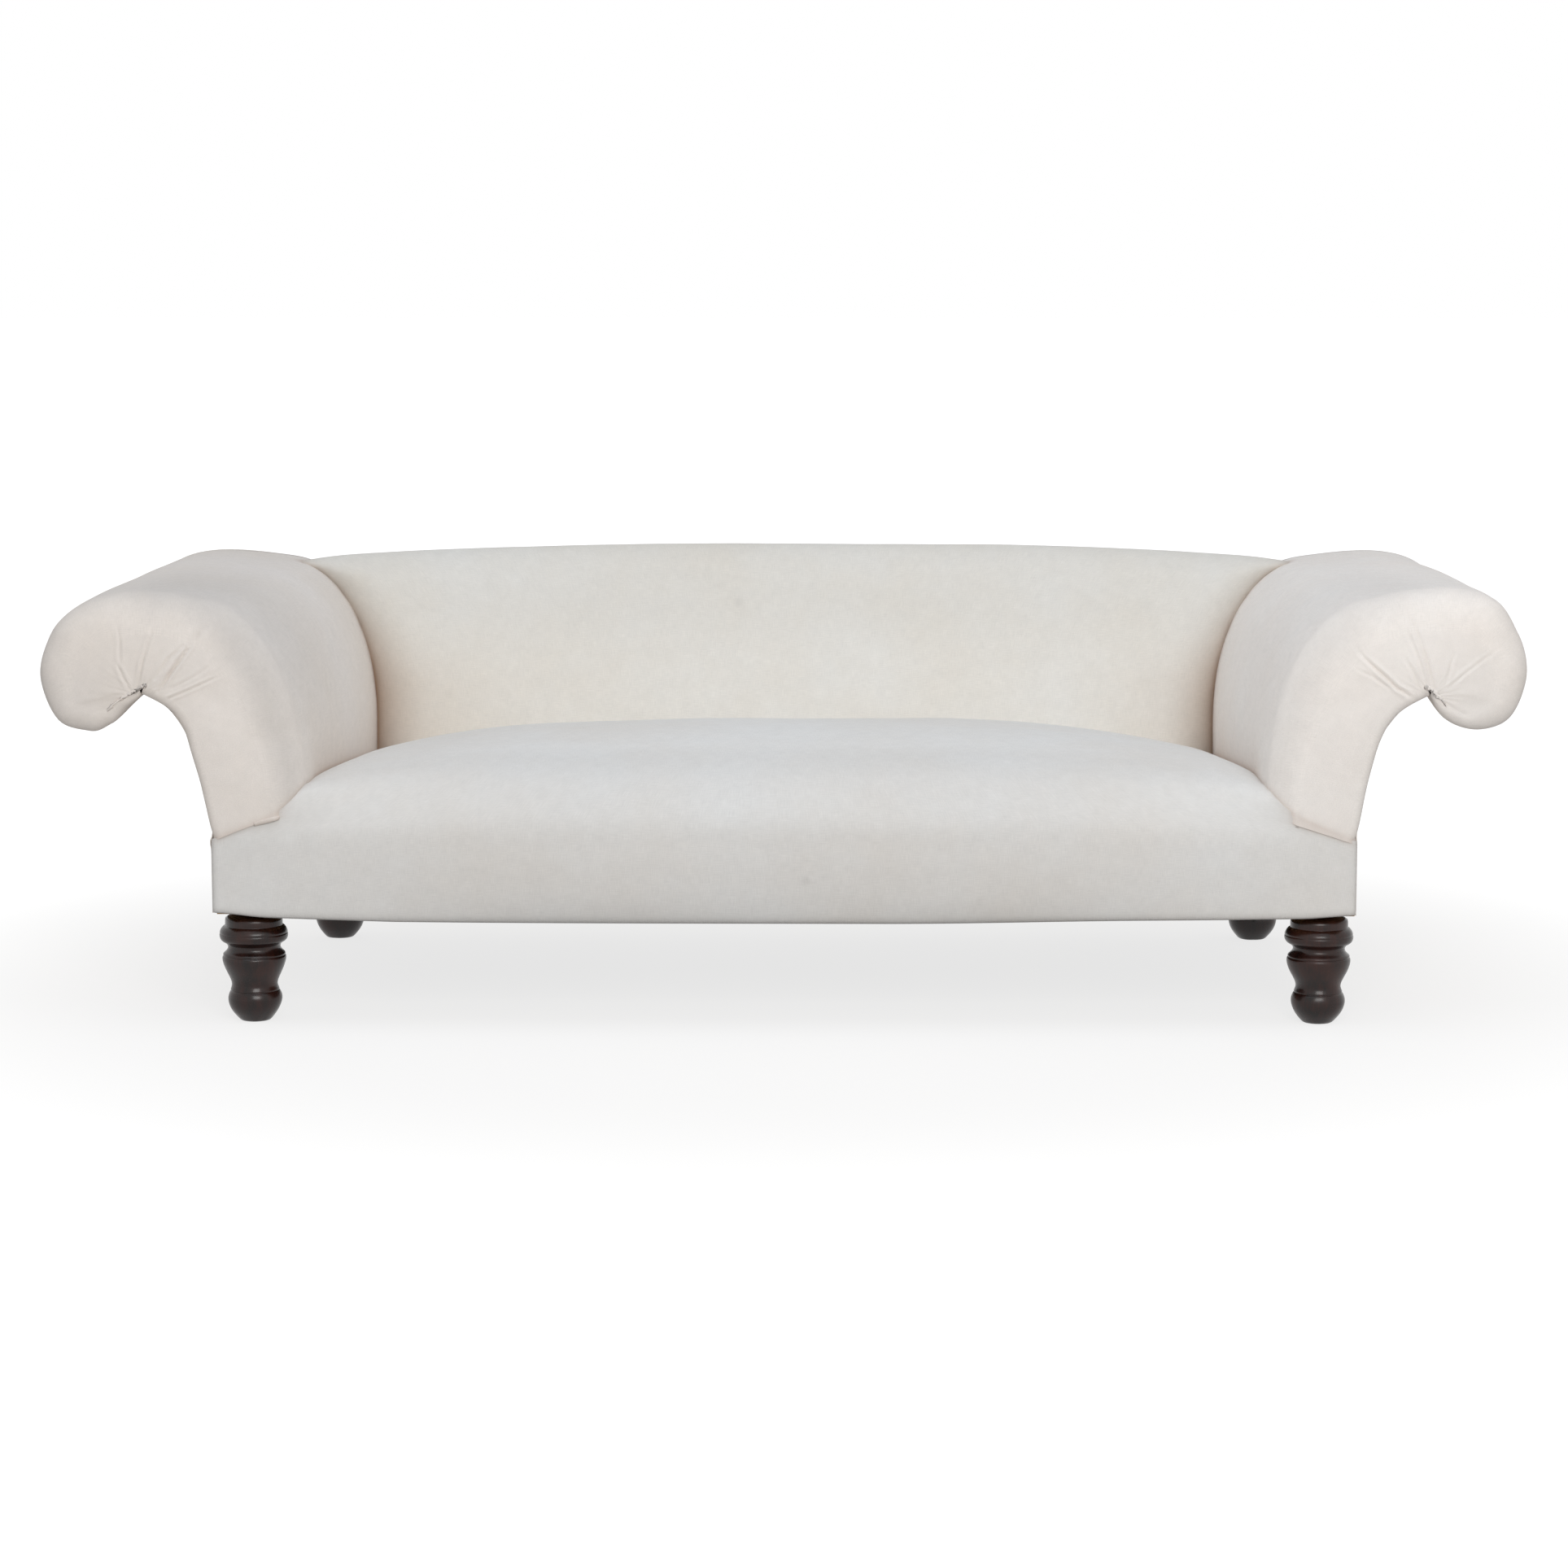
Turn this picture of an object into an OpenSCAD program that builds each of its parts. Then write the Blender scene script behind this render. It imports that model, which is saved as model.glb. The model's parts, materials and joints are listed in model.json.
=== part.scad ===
// Low-back sofa with out-scrolled arms, a sprung seat and turned legs, in plain calico.
// X runs to the viewer's right, the front faces -Y and Z is up.
// The origin lies on the floor under the middle of the sofa. Lengths are millimetres.
// Depths, named d, count backwards from the plane of the front border.

/* [Overall] */
// Width over the two scrolls
overall_w = 2268; // [2200:2:2330]
// Depth from the front of the seat's bulge to the outside back
overall_d = 892; // [880:2:930]
// How far a scroll stands out beyond the base
scroll_out = 260; // [250:2:270]
// Height of the back at its middle
back_h = 687; // [675:1:705]
// Fall of the back's top from its middle to its ends
back_drop = 33; // [20:1:40]
// Height of the arms
arm_h = 673; // [660:1:690]

/* [Seat] */
// Height of the seat at its crown
crown_h = 428; // [414:1:436]
// Height of the seat where it meets the arms
seat_side_h = 376; // [362:1:382]
// How far the middle of the front stands out from the border
seat_bulge = 22; // [14:1:28]
// Thickness of the padding over the front rail
border_t = 10; // [8:0.5:14]
// Height of the border's seam at its outer ends
seam_out_h = 291; // [290:1:298]
// Height of the border's seam beside the seat
seam_in_h = 321; // [310:1:328]

/* [Arms] */
// Thickness of an arm at its foot
arm_base_t = 142; // [134:1:150]
// Thickness of an arm's stuffing
arm_pad_t = 36; // [30:1:40]
// Thickness of the padding over an arm's front board
facing_pad_t = 18; // [14:1:20]
// Softness of the front edge on the scroll and the inside
arm_front_r = 55; // [44:1:58]
// Softness of the front edge on the outside
arm_under_r = 16; // [14:1:20]

/* [Back] */
// Thickness of the back at its foot, with its stuffing
back_foot_t = 178; // [165:1:190]
// Depth of the stuffing's top roll behind the inside face
back_roll_d = 60; // [45:1:70]
// Thickness of the back's framing
back_frame_t = 45; // [38:1:50]
// Stuffing over the top rail
back_top_pad = 66; // [60:1:72]
// Height of the top rail's section
top_rail_h = 62; // [50:1:70]
// Width of the posts in the middle of the back
post_w = 55; // [40:1:70]
// Height of the stuffing rail's section
back_stuffing_rail_h = 50; // [40:1:60]

/* [Legs] */
// Height of a leg under the frame
leg_h = 166; // [160:1:172]
// Diameter of the ring under the collar
leg_ring_w = 106; // [98:1:110]
// Diameter of the collar
leg_collar_w = 89; // [84:1:94]
// Diameter of the cove between ring and vase
leg_cove_w = 80; // [72:1:84]
// Diameter of the vase's shoulder
leg_vase_w = 99; // [92:1:102]
// Diameter of the waist
leg_waist_w = 64; // [56:1:70]
// Diameter of the foot's bulb
leg_foot_w = 84; // [78:1:90]
// Diameter of the flat that stands on the floor
leg_toe_w = 47; // [40:1:56]
// Front legs' centres inside the base's side
front_leg_side = 50; // [48:1:70]
// Back legs' centres inside the base's side
back_leg_side = 79; // [60:1:90]
// Front legs' centres behind the border
front_leg_in = 60; // [60:1:80]
// Back legs' centres in front of the outside back
back_leg_in = 60; // [56:1:80]
// Diameter of a leg's spigot
spigot_w = 26; // [22:1:30]
// Length of a leg's spigot
spigot_l = 54; // [40:1:56]

/* [Frame] */
// Thickness of the seat rails
rail_t = 32; // [28:1:34]
// Height of the seat rails
rail_h = 114; // [108:1:118]
// Thickness of the arm boards
board_t = 28; // [22:1:30]
// Width of a rail inside an arm
arm_rail_w = 32; // [26:1:36]
// Height of a rail inside an arm
arm_rail_h = 42; // [34:1:46]
// Thickness of a seat brace
brace_t = 28; // [22:1:32]
// Height of a seat brace
brace_h = 60; // [50:1:70]
// Side of a corner block
block_w = 80; // [76:1:84]
// Height of a corner block
block_h = 60; // [58:1:66]
// Diameter of a dowel
dowel_w = 9; // [7:0.5:10]
// Length of a dowel
dowel_l = 50; // [40:1:52]
// Shank diameter of a corner block's screw
screw_w = 5; // [4:0.5:5.5]
// Length of a corner block's screw
screw_l = 62; // [50:1:66]

/* [Upholstery] */
// Thickness of the calico
cloth_t = 1.5; // [1.2:0.1:2]
// Thickness of the hessian
hessian_t = 1.4; // [1.2:0.1:1.6]
// Width of the webbing
web_w = 50; // [44:1:54]
// Thickness of the webbing
web_t = 2.5; // [2:0.1:2.6]
// Diameter of the lashing cord
cord_w = 3; // [2.5:0.1:3.2]

/* [Springs] */
// Springs from front to back
spring_rows = 3; // [2:1:3]
// Springs from side to side
spring_columns = 7; // [5:2:7]
// Distance from the outer springs' centres to the side rails
spring_side = 240; // [200:1:260]
// Diameter of a spring at its ends
spring_end_w = 92; // [80:1:100]
// Diameter of a spring at its waist
spring_waist_w = 56; // [46:1:64]
// Height of the springs above the rails' underside
spring_h = 118; // [116:1:120]
// Curls of one spring
spring_curls = 3.5; // [3.5:0.5:4.5]
// Diameter of the springs' wire
wire_w = 4; // [3:0.1:4.4]

/* [Hidden] */

$fn = 40;
// Clearance between pieces that lie against each other
gap = 0.3;
// Clearance all round a spigot, a dowel or a screw in its hole
fit = 0.2;
// How far a cutting shape runs past what it cuts
overrun = 2;
// Height of the covers' lower edge over the legs' top
hem_lift = 0.6;
// Room for webbing and bottom cloth under the rails
web_room = 8;

wood_colour = "burlywood";
leg_colour = "#2c1611";
calico_colour = "#ddd9d1";
hair_colour = "#a98f6c";
hessian_colour = "#b39a6b";
steel_colour = "#8f8f92";

// Places that several pieces share
front_y = seat_bulge - overall_d / 2;
back_d = overall_d - seat_bulge;
scroll_x = overall_w / 2;
base_x = scroll_x - scroll_out;
seat_d = back_d - back_foot_t;
arm_in_x = base_x - arm_base_t;
hem_z = leg_h + hem_lift;
rail_z = leg_h + web_room;
rail_top = rail_z + rail_h;
rail_front_d = border_t + gap;
rail_x = base_x - cloth_t - gap;
frame_back_d = back_d - 2 * cloth_t - 2 * gap;
back_frame_d = frame_back_d - back_frame_t;
back_web_d = back_frame_d - gap - web_t;
back_pad_d = back_web_d - 2 * gap - hessian_t;
back_board_d = frame_back_d - board_t;
front_board_d = facing_pad_t + gap + fit;
side_rail_d0 = rail_front_d + rail_t;
side_rail_d1 = frame_back_d - rail_t;
spring_in = block_w + web_w / 2 + web_t;
spring_first_d = side_rail_d0 + spring_in;
spring_pitch_d = (side_rail_d1 - spring_in - spring_first_d) / spring_rows;
spring_pitch_x = 2 * (rail_x - rail_t - spring_side) / (spring_columns - 1);
spring_top = rail_z + spring_h;
lash_z = spring_top + gap;
hessian_z = lash_z + 2 * cord_w + 2 * gap;
board_inset = arm_pad_t + hessian_t + 2 * gap;
skin = cloth_t + gap;

// Curves

// Point at share t between b and c on a smooth curve through a, b, c and d
function smooth(a, b, c, d, t) =
  0.5 * (2 * b + (c - a) * t + (2 * a - 5 * b + 4 * c - d) * t * t
    + (3 * b - a - 3 * c + d) * t * t * t);

// Smooth open curve through points, with n steps from one point to the next
function curve(points, n) =
  let (last = len(points) - 1)
  [for (i = [0:last - 1], s = [0:n - 1])
     smooth(points[max(i - 1, 0)], points[i], points[i + 1], points[min(i + 2, last)], s / n),
   points[last]];

// Unit normals on the left of an open curve; at its two ends they are level
function normals(points) =
  let (last = len(points) - 1)
  [for (i = [0:last])
     let (way = points[min(i + 1, last)] - points[max(i - 1, 0)], side = [-way[1], way[0]])
     i == 0 || i == last ? [sign(side[0]), 0] : side / norm(side)];

// An open curve moved to its left by the distances in insets
function moved(points, insets) =
  let (sides = normals(points))
  [for (i = [0:len(points) - 1]) points[i] + sides[i] * insets[i]];

function all_alike(points, inset) = [for (p = points) inset];

// Triangles that fill a ring of n points, from its two ends to its middle
function ring_fill(n) =
  [for (k = [0:floor(n / 2) - 1], tri = [[k, k + 1, n - 1 - k], [k + 1, n - 2 - k, n - 1 - k]])
    if (k + 1 < n - 1 - k && tri[0] < tri[1]) tri];

// Closed solid through rings of points, with flat ends
module loft(rings) {
  n = len(rings[0]);
  last = len(rings) - 1;
  fill = ring_fill(n);
  polyhedron(
    points = [for (ring = rings, p = ring) p],
    faces = concat(
      [for (k = [0:last - 1], j = [0:n - 1]) let (i = (j + 1) % n)
        [k * n + j, k * n + i, (k + 1) * n + i]],
      [for (k = [0:last - 1], j = [0:n - 1]) let (i = (j + 1) % n)
        [k * n + j, (k + 1) * n + i, (k + 1) * n + j]],
      [for (tri = fill) [tri[2], tri[1], tri[0]]],
      [for (tri = fill) [for (j = tri) last * n + j]]),
    convexity = 8);
}

// A flat shape in X and Z, from depth d0 to depth d1
module along_depth(d0, d1)
  translate([0, front_y + d1, 0]) rotate([90, 0, 0]) linear_extrude(d1 - d0) children();

// A flat shape in Y and Z, from x0 to x1
module along_width(x0, x1)
  translate([x0, front_y, 0]) rotate([90, 0, 90]) linear_extrude(x1 - x0) children();

// A box between two corners given as x, d and z
module box(low, high)
  translate([low[0], front_y + low[1], low[2]]) cube(high - low);

// The piece as modelled, which is the right one, and its mirror image
module right() children();
module left() mirror([1, 0, 0]) children();

// Arm section

// Outside of the arm from its foot to the nook, then round the scroll and down the inside.
// Across: share of the scroll's reach beyond the base, or below 0 of the arm's foot.
// Up: share of the arm's height over the rails.
arm_under_shares = [[0, 0], [0.01, 0.13], [0.075, 0.34], [0.215, 0.505], [0.41, 0.587]];
arm_scroll_shares = [
  [0.41, 0.587], [0.50, 0.498], [0.70, 0.436], [0.90, 0.49], [1.0, 0.655], [0.945, 0.825],
  [0.77, 0.952], [0.50, 1.0], [0.13, 0.986], [-0.26, 0.942], [-0.65, 0.80], [-0.89, 0.60],
  [-1.0, 0.36], [-1.0, 0.034]
];

arm_z = rail_top + gap;
function arm_place(s) =
  [base_x + s[0] * (s[0] > 0 ? scroll_out : arm_base_t), arm_z + s[1] * (arm_h - arm_z)];

arm_steps = 2;
arm_under = curve([for (s = arm_under_shares) arm_place(s)], arm_steps);
arm_scroll = curve([for (s = arm_scroll_shares) arm_place(s)], arm_steps);
nook = len(arm_under) - 1;
arm_line = concat(arm_under, [for (i = [1:len(arm_scroll) - 1]) arm_scroll[i]]);
arm_last = len(arm_line) - 1;
seat_x = min([for (p = arm_line) p[0]]) - gap;

// Insets for the arm's outline: one outside up to the nook, one round the rest
function arm_insets(outside, inside) =
  [for (i = [0:arm_last]) i < nook ? outside : inside];

// The arm's section as a flat shape, with its foot at height foot_z
module arm_shape(outside, inside, foot_z = rail_top) {
  line = moved(arm_line, arm_insets(outside, inside));
  polygon(concat(line, [[line[arm_last][0], foot_z], [line[0][0], foot_z]]));
}

// Softness of the arm's front edge along its outline
soft_points = 4;
function arm_edge_r(i) =
  arm_under_r + (arm_front_r - arm_under_r) * min(max((i - nook) / soft_points, 0), 1);

// The arm's outer form, inset by e, with its rear end at depth end_d. A cutting copy
// reaches below by over.
edge_steps = 3;
module arm_form(e, end_d, over = 0) {
  sides = normals(arm_line);
  function ring(angle) =
    [for (i = [0:arm_last])
      let (r = arm_edge_r(i), p = arm_line[i] + sides[i] * (r - (r - e) * sin(angle)),
        low = i == 0 || i == arm_last ? over : 0)
      [p[0], front_y + r - (r - e) * cos(angle), p[1] - low]];
  function end_ring() =
    [for (p = ring(90)) [p[0], front_y + end_d, p[2]]];
  loft(concat([for (s = [0:edge_steps]) ring(90 * s / edge_steps)], [end_ring()]));
}

// Where the front border passes in front of the arm's foot
module border_space(room = 0) {
  out = base_x + overrun;
  rise = (seam_in_h - seam_out_h) / (base_x - seat_x);
  along_depth(-overrun - seat_bulge, border_t + room)
    polygon([[seat_x, hem_z - overrun], [out, hem_z - overrun],
      [out, seam_out_h + room - rise * overrun], [seat_x, seam_in_h + room],
      [seat_x - arm_base_t, seam_in_h + room], [seat_x - arm_base_t, hem_z - overrun]]);
}

// Rails inside the arm, by their lower inner corner. The top rail hangs from the arm's top;
// the others stand at shares of the section, across and up.
arm_top_rail_drop = 58;
arm_top_rail_share = -0.02;
arm_top_rail_place =
  [arm_place([arm_top_rail_share, 0])[0], arm_h - arm_top_rail_drop - arm_rail_h];
arm_scroll_rail_place = arm_place([0.70, 0.60]);
arm_stuffing_rail_place = arm_place([-0.70, 0.05]);
arm_rail_places = [arm_top_rail_place, arm_scroll_rail_place, arm_stuffing_rail_place];
arm_rail_d0 = front_board_d + board_t;

// Seat

// Front, roll and top of the seat, as shares of the seat's depth and height, at its middle
// and beside the arms. The front of the bulge has its own shares of the bulge.
seat_mid_shares = [[0, 0], [0, 0.19], [0, 0.41], [0, 0.61], [0.036, 0.785],
  [0.108, 0.885], [0.224, 0.954], [0.42, 1], [0.64, 0.99], [0.85, 0.935], [1, 0.86]];
seat_side_shares = [[0, 0], [0, 0.18], [0, 0.41], [0, 0.65], [0.008, 0.86],
  [0.055, 0.945], [0.19, 1], [0.36, 0.992], [0.58, 0.95], [0.81, 0.885], [1, 0.818]];
bulge_shares = [0.1, 0.68, 1, 0.72, 0, 0, 0, 0, 0, 0, 0];
side_bulge_share = 0.25;
crown_power = 3.4;
line_steps = 2;

// The seat's line at share u from the middle to an arm
function seat_line(u) =
  let (mid = 1 - pow(abs(u), crown_power))
  curve([for (i = [0:len(seat_mid_shares) - 1])
    let (m = seat_mid_shares[i], s = seat_side_shares[i],
      bulge = seat_bulge * bulge_shares[i] * (side_bulge_share + (1 - side_bulge_share) * mid))
    [(s[0] + (m[0] - s[0]) * mid) * seat_d - bulge,
     hem_z + mid * m[1] * (crown_h - hem_z) + (1 - mid) * s[1] * (seat_side_h - hem_z)]],
    line_steps);

seat_stations = 16;
module seat_form(e, over = 0) {
  function station(k) = sin(90 * (2 * k / seat_stations - 1));
  function ring(k) =
    let (u = station(k), line = seat_line(u), in = moved(line, all_alike(line, -e)),
      last = len(line) - 1, x = u * (seat_x + over))
    [for (i = [0:last])
       [x, front_y + (i == last ? seat_d + overrun + over : i == 0 ? line[0][0] + e : in[i][0]),
        i == 0 ? hem_z - over : i == last ? in[last - 1][1] - (in[last - 2][1] - in[last - 1][1])
          : in[i][1]],
     [x, front_y + seat_d + overrun + over, hem_z - over]];
  loft([for (k = [0:seat_stations]) ring(k)]);
  right() border_form(e, over);
  left() border_form(e, over);
}

// The border in front of an arm's foot, with its rounded outer corner
corner_share = 0.8;
corner_r = border_t * corner_share;
corner_angles = [30, 60, 85];
border_along_shares = [0, 0.5, 1];
border_up_shares = [0, 0.25, 0.5, 0.75, 1];
module border_form(e, over = 0) {
  end = base_x - e;
  flat = base_x - corner_r;
  function seam(x) =
    seam_in_h + (seam_out_h - seam_in_h) * (x - seat_x) / (base_x - seat_x);
  function front(x, s) =
    let (fade = 1 - (x - seat_x) / (base_x - seat_x), c = max(x - flat, 0) / corner_r)
    -seat_bulge * side_bulge_share * fade * sin(180 * s) + corner_r * (1 - sqrt(1 - c * c)) + e;
  function ring(x, place) =
    concat([for (s = border_up_shares)
        [place, front_y + front(x, s),
          hem_z - over + s * (seam(x) - hem_z + 2 * over)]],
      [[place, front_y + border_t + over, seam(x) + over],
       [place, front_y + border_t + over, hem_z - over]]);
  span = flat - seat_x;
  loft(concat([for (s = border_along_shares) ring(seat_x + s * span, seat_x + s * span)],
    [for (a = corner_angles) let (x = flat + corner_r * sin(a)) ring(x, min(x, end))]));
}

// Everything under the seat's hessian, with the front rail
hessian_rise = 45;
function hessian_line(lift) =
  [[rail_front_d + overrun, rail_top + gap + lift], [rail_front_d + rail_t, rail_top + gap + lift],
   [rail_front_d + rail_t + hessian_rise, hessian_z + lift],
   [side_rail_d1 - hessian_rise, hessian_z + lift],
   [side_rail_d1, rail_top + gap + lift],
   [frame_back_d - board_t - overrun, rail_top + gap + lift]];

module under_seat() {
  room = hessian_t + gap;
  along_width(-overall_w, overall_w)
    polygon(concat([[border_t, hem_z - overrun], [border_t, rail_top + gap + room]],
      [for (i = [1:3]) hessian_line(room)[i]],
      [[back_d + overrun, hessian_z + room], [back_d + overrun, hem_z - overrun]]));
}

// Back

// Inside face, roll and rear of the back: depth as a share of the room between the inside
// face and the rear, height as a share of the height over the seat's hessian
back_shares = [[0, 0], [0.01, 0.21], [0.045, 0.42], [0.115, 0.63], [0.215, 0.80],
  [0.37, 0.93], [0.62, 1], [0.86, 0.965], [0.98, 0.895], [1, 0.83], [1, 0.74]];
back_foot_z = hessian_z + hessian_t + gap;
drop_power = 3;
function back_top(x) = back_h - back_drop * pow(min(abs(x) / base_x, 1), drop_power);

function back_line(x) =
  let (room = back_d - skin - seat_d)
  curve([for (s = back_shares)
    [seat_d + s[0] * room, back_foot_z + s[1] * (back_top(x) - back_foot_z)]], line_steps);

back_stations = 10;
module back_form(e, over = 0) {
  reach = base_x - arm_pad_t / 2;
  function ring(x) =
    let (line = back_line(x), in = moved(line, all_alike(line, -e)), last = len(line) - 1)
    concat([for (i = [0:last])
        [x, front_y + in[i][0], in[i][1] - (i == 0 ? over : 0)]],
      [[x, front_y + in[last][0], back_foot_z - over]]);
  difference() {
    loft([for (k = [0:back_stations])
      ring((2 * k / back_stations - 1) * (reach + over))]);
    if (over == 0) {
      right() arm_space();
      left() arm_space();
    }
  }
}

// Room for an arm, with its clearance
module arm_space()
  along_depth(seat_d - seat_bulge, back_d + overrun) arm_shape(-gap, -gap, rail_z);

// What lies in front of the inside back
module back_space() {
  line = moved(back_line(0), all_alike(back_line(0), gap));
  along_width(-overall_w, overall_w)
    polygon(concat([[line[0][0], line[0][1] - overrun]],
      [for (i = [1:6]) line[i]], [[back_d + overrun, line[6][1]],
      [back_d + overrun, line[0][1] - overrun]]));
}

// The back's arched framing as a flat shape, lowered by fall and cut off below z
arch_steps = 16;
module arch_shape(fall, z) {
  polygon(concat(
    [for (k = [0:arch_steps]) let (x = (1 - 2 * k / arch_steps) * base_x)
      [x, back_top(x) - fall]],
    [[-base_x, z], [base_x, z]]));
}

// The flat space between the arms
module between_arms() difference() {
  arch_shape(0, rail_top);
  arm_shape(-gap, -gap, rail_z);
  mirror([1, 0]) arm_shape(-gap, -gap, rail_z);
}

// Dowels, screws and their holes

module dowel(room = 0)
  cylinder(d = dowel_w + 2 * room, h = dowel_l + 2 * room, center = true);

// Dowels between the seat rails' ends, as heights up the rail
corner_dowel_shares = [0.24, 0.58];
module rail_dowels(room = 0)
  for (side = [-1, 1], d = [side_rail_d0, side_rail_d1], s = corner_dowel_shares)
    translate([side * (rail_x - rail_t / 2), front_y + d, rail_z + s * rail_h])
      rotate([90, 0, 0]) dowel(room);

// Dowels under the arm boards, as shares of the boards' foot
board_dowel_shares = [0.28, 0.78];
board_foot_in = arm_in_x + board_inset;
module board_dowels(d, room = 0)
  for (side = [-1, 1], s = board_dowel_shares)
    translate([side * (board_foot_in + s * (rail_x - board_foot_in)),
        front_y + d + board_t / 2, rail_top]) dowel(room);

// Dowels in the ends of the rails inside an arm
module arm_rail_dowels(room = 0)
  for (place = arm_rail_places, d = [arm_rail_d0, back_board_d])
    translate([place[0] + arm_rail_w / 2, front_y + d, place[1] + arm_rail_h / 2])
      rotate([90, 0, 0])
        cylinder(d = dowel_w + 2 * room, h = dowel_l * short_dowel_share + 2 * room,
          center = true);
short_dowel_share = 0.7;

// Dowels under and over the posts of the back
post_share = 0.286;
post_x = base_x * post_share;
function back_post_top(x) = back_top(x) - back_top_pad - top_rail_h;
module post_dowels(room = 0)
  for (side = [-1, 1], z = [rail_top, back_post_top(post_x + post_w / 2)])
    translate([side * post_x, front_y + frame_back_d - back_frame_t / 3, z]) dowel(room);

// Frame

module seat_rail(d) box([-rail_x, d, rail_z], [rail_x, d + rail_t, rail_top]);

module front_seat_rail() color(wood_colour) difference() {
  seat_rail(rail_front_d);
  rail_dowels(fit);
  board_dowels(front_board_d, fit);
  rail_screws(front_block_d, false, fit);
}

module back_seat_rail() color(wood_colour) difference() {
  seat_rail(side_rail_d1);
  rail_dowels(fit);
  board_dowels(back_board_d, fit);
  post_dowels(fit);
  rail_screws(back_block_d, true, fit);
}

module side_seat_rail() color(wood_colour) difference() {
  box([rail_x - rail_t, side_rail_d0, rail_z], [rail_x, side_rail_d1, rail_top]);
  rail_dowels(fit);
}

// A brace is hollowed underneath so that the webbing can sink under load
brace_hollow = 12;
brace_steps = 6;
brace_x = spring_pitch_x * (floor(spring_columns / 4) + 0.5);
module seat_brace() color(wood_colour) {
  low = rail_z + (rail_h - brace_h) / 2;
  middle = (side_rail_d0 + side_rail_d1) / 2;
  along_width(brace_x - brace_t / 2, brace_x + brace_t / 2)
    polygon(concat(
      curve([[side_rail_d0, low], [middle, low + brace_hollow], [side_rail_d1, low]],
        brace_steps),
      [[side_rail_d1, low + brace_h], [side_rail_d0, low + brace_h]]));
}

// Legs stand under the corner blocks
front_leg_x = base_x - front_leg_side;
back_leg_x = base_x - back_leg_side;
back_leg_d = back_d - back_leg_in;
front_block_d = side_rail_d0 + gap;
back_block_d = side_rail_d1 - gap;

// A corner block fills the corner of two rails and is cut across towards the seat
block_cut_share = 0.38;
module block_plan(corner_d, back)
  translate([rail_x - rail_t - gap, front_y + corner_d])
    mirror([0, back ? 1 : 0]) mirror([1, 0])
      polygon([[0, 0], [block_w, 0], [block_w, block_w * block_cut_share],
        [block_w * block_cut_share, block_w], [0, block_w]]);

module corner_block(leg_x, leg_d, corner_d, back) color(wood_colour) difference() {
  translate([0, 0, leg_h]) linear_extrude(block_h) block_plan(corner_d, back);
  translate([leg_x, front_y + leg_d, leg_h - overrun])
    cylinder(d = spigot_w + 2 * fit, h = spigot_l + overrun + fit);
  block_screw(corner_d, back, fit);
}

// A screw holds each block to the long rail
screw_head_w = 10;
screw_head_h = 3;
screw_up_share = 0.76;
screw_side_share = 0.87;
screw_bite = 20;
module screw(room = 0) {
  cylinder(d = screw_w + 2 * room, h = screw_l + room);
  cylinder(d1 = screw_head_w + 2 * room, d2 = screw_w + 2 * room, h = screw_head_h + room);
  if (room > 0) mirror([0, 0, 1]) cylinder(d = screw_head_w + 2 * room, h = block_w);
}
module block_screw(corner_d, back, room = 0) {
  x = rail_x - rail_t - gap - block_w * screw_side_share;
  inward = back ? -1 : 1;
  translate([x, front_y + corner_d + inward * (screw_l - screw_bite),
      leg_h + block_h * screw_up_share])
    rotate([inward * 90, 0, 0]) screw(room);
}

module rail_screws(corner_d, back, room = 0) {
  right() block_screw(corner_d, back, room);
  left() block_screw(corner_d, back, room);
}

module corner_block_screws() color(steel_colour) {
  rail_screws(front_block_d, false);
  rail_screws(back_block_d, true);
}

module joint_dowels() color("peru") {
  rail_dowels();
  board_dowels(front_board_d);
  board_dowels(back_board_d);
  right() arm_rail_dowels();
  left() arm_rail_dowels();
  post_dowels();
}

// The front board keeps clear of the cover's rounded front edge
board_ease = 1;
module arm_front_board() color(wood_colour) difference() {
  along_depth(front_board_d, front_board_d + board_t)
    arm_shape(skin + gap + board_ease, board_inset);
  board_dowels(front_board_d, fit);
  arm_rail_dowels(fit);
}

module arm_back_board() color(wood_colour) difference() {
  along_depth(back_board_d, frame_back_d) arm_shape(skin + gap, skin + gap);
  board_dowels(back_board_d, fit);
  arm_rail_dowels(fit);
}

module arm_rail(place) color(wood_colour) difference() {
  box([place[0], arm_rail_d0, place[1]],
    [place[0] + arm_rail_w, back_board_d, place[1] + arm_rail_h]);
  arm_rail_dowels(fit);
}

module back_top_rail() color(wood_colour) difference() {
  along_depth(back_frame_d, frame_back_d) difference() {
    intersection() {
      arch_shape(back_top_pad, rail_top);
      between_arms();
    }
    arch_shape(back_top_pad + top_rail_h, 0);
  }
  post_dowels(fit);
}

module back_post() color(wood_colour) difference() {
  along_depth(back_frame_d, frame_back_d) intersection() {
    translate([post_x - post_w / 2, rail_top]) square([post_w, back_h]);
    arch_shape(back_top_pad + top_rail_h + gap, rail_top);
  }
  post_dowels(fit);
}

// The stuffing rail runs in three lengths between the arms and the posts
module back_stuffing_rails() color(wood_colour)
  along_depth(back_frame_d, frame_back_d) difference() {
    low = back_foot_z;
    translate([-seat_x, low]) square([2 * seat_x, back_stuffing_rail_h]);
    for (side = [-1, 1])
      translate([side * post_x - post_w / 2 - gap / 2, low - overrun])
        square([post_w + gap, back_stuffing_rail_h + 2 * overrun]);
  }

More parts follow.
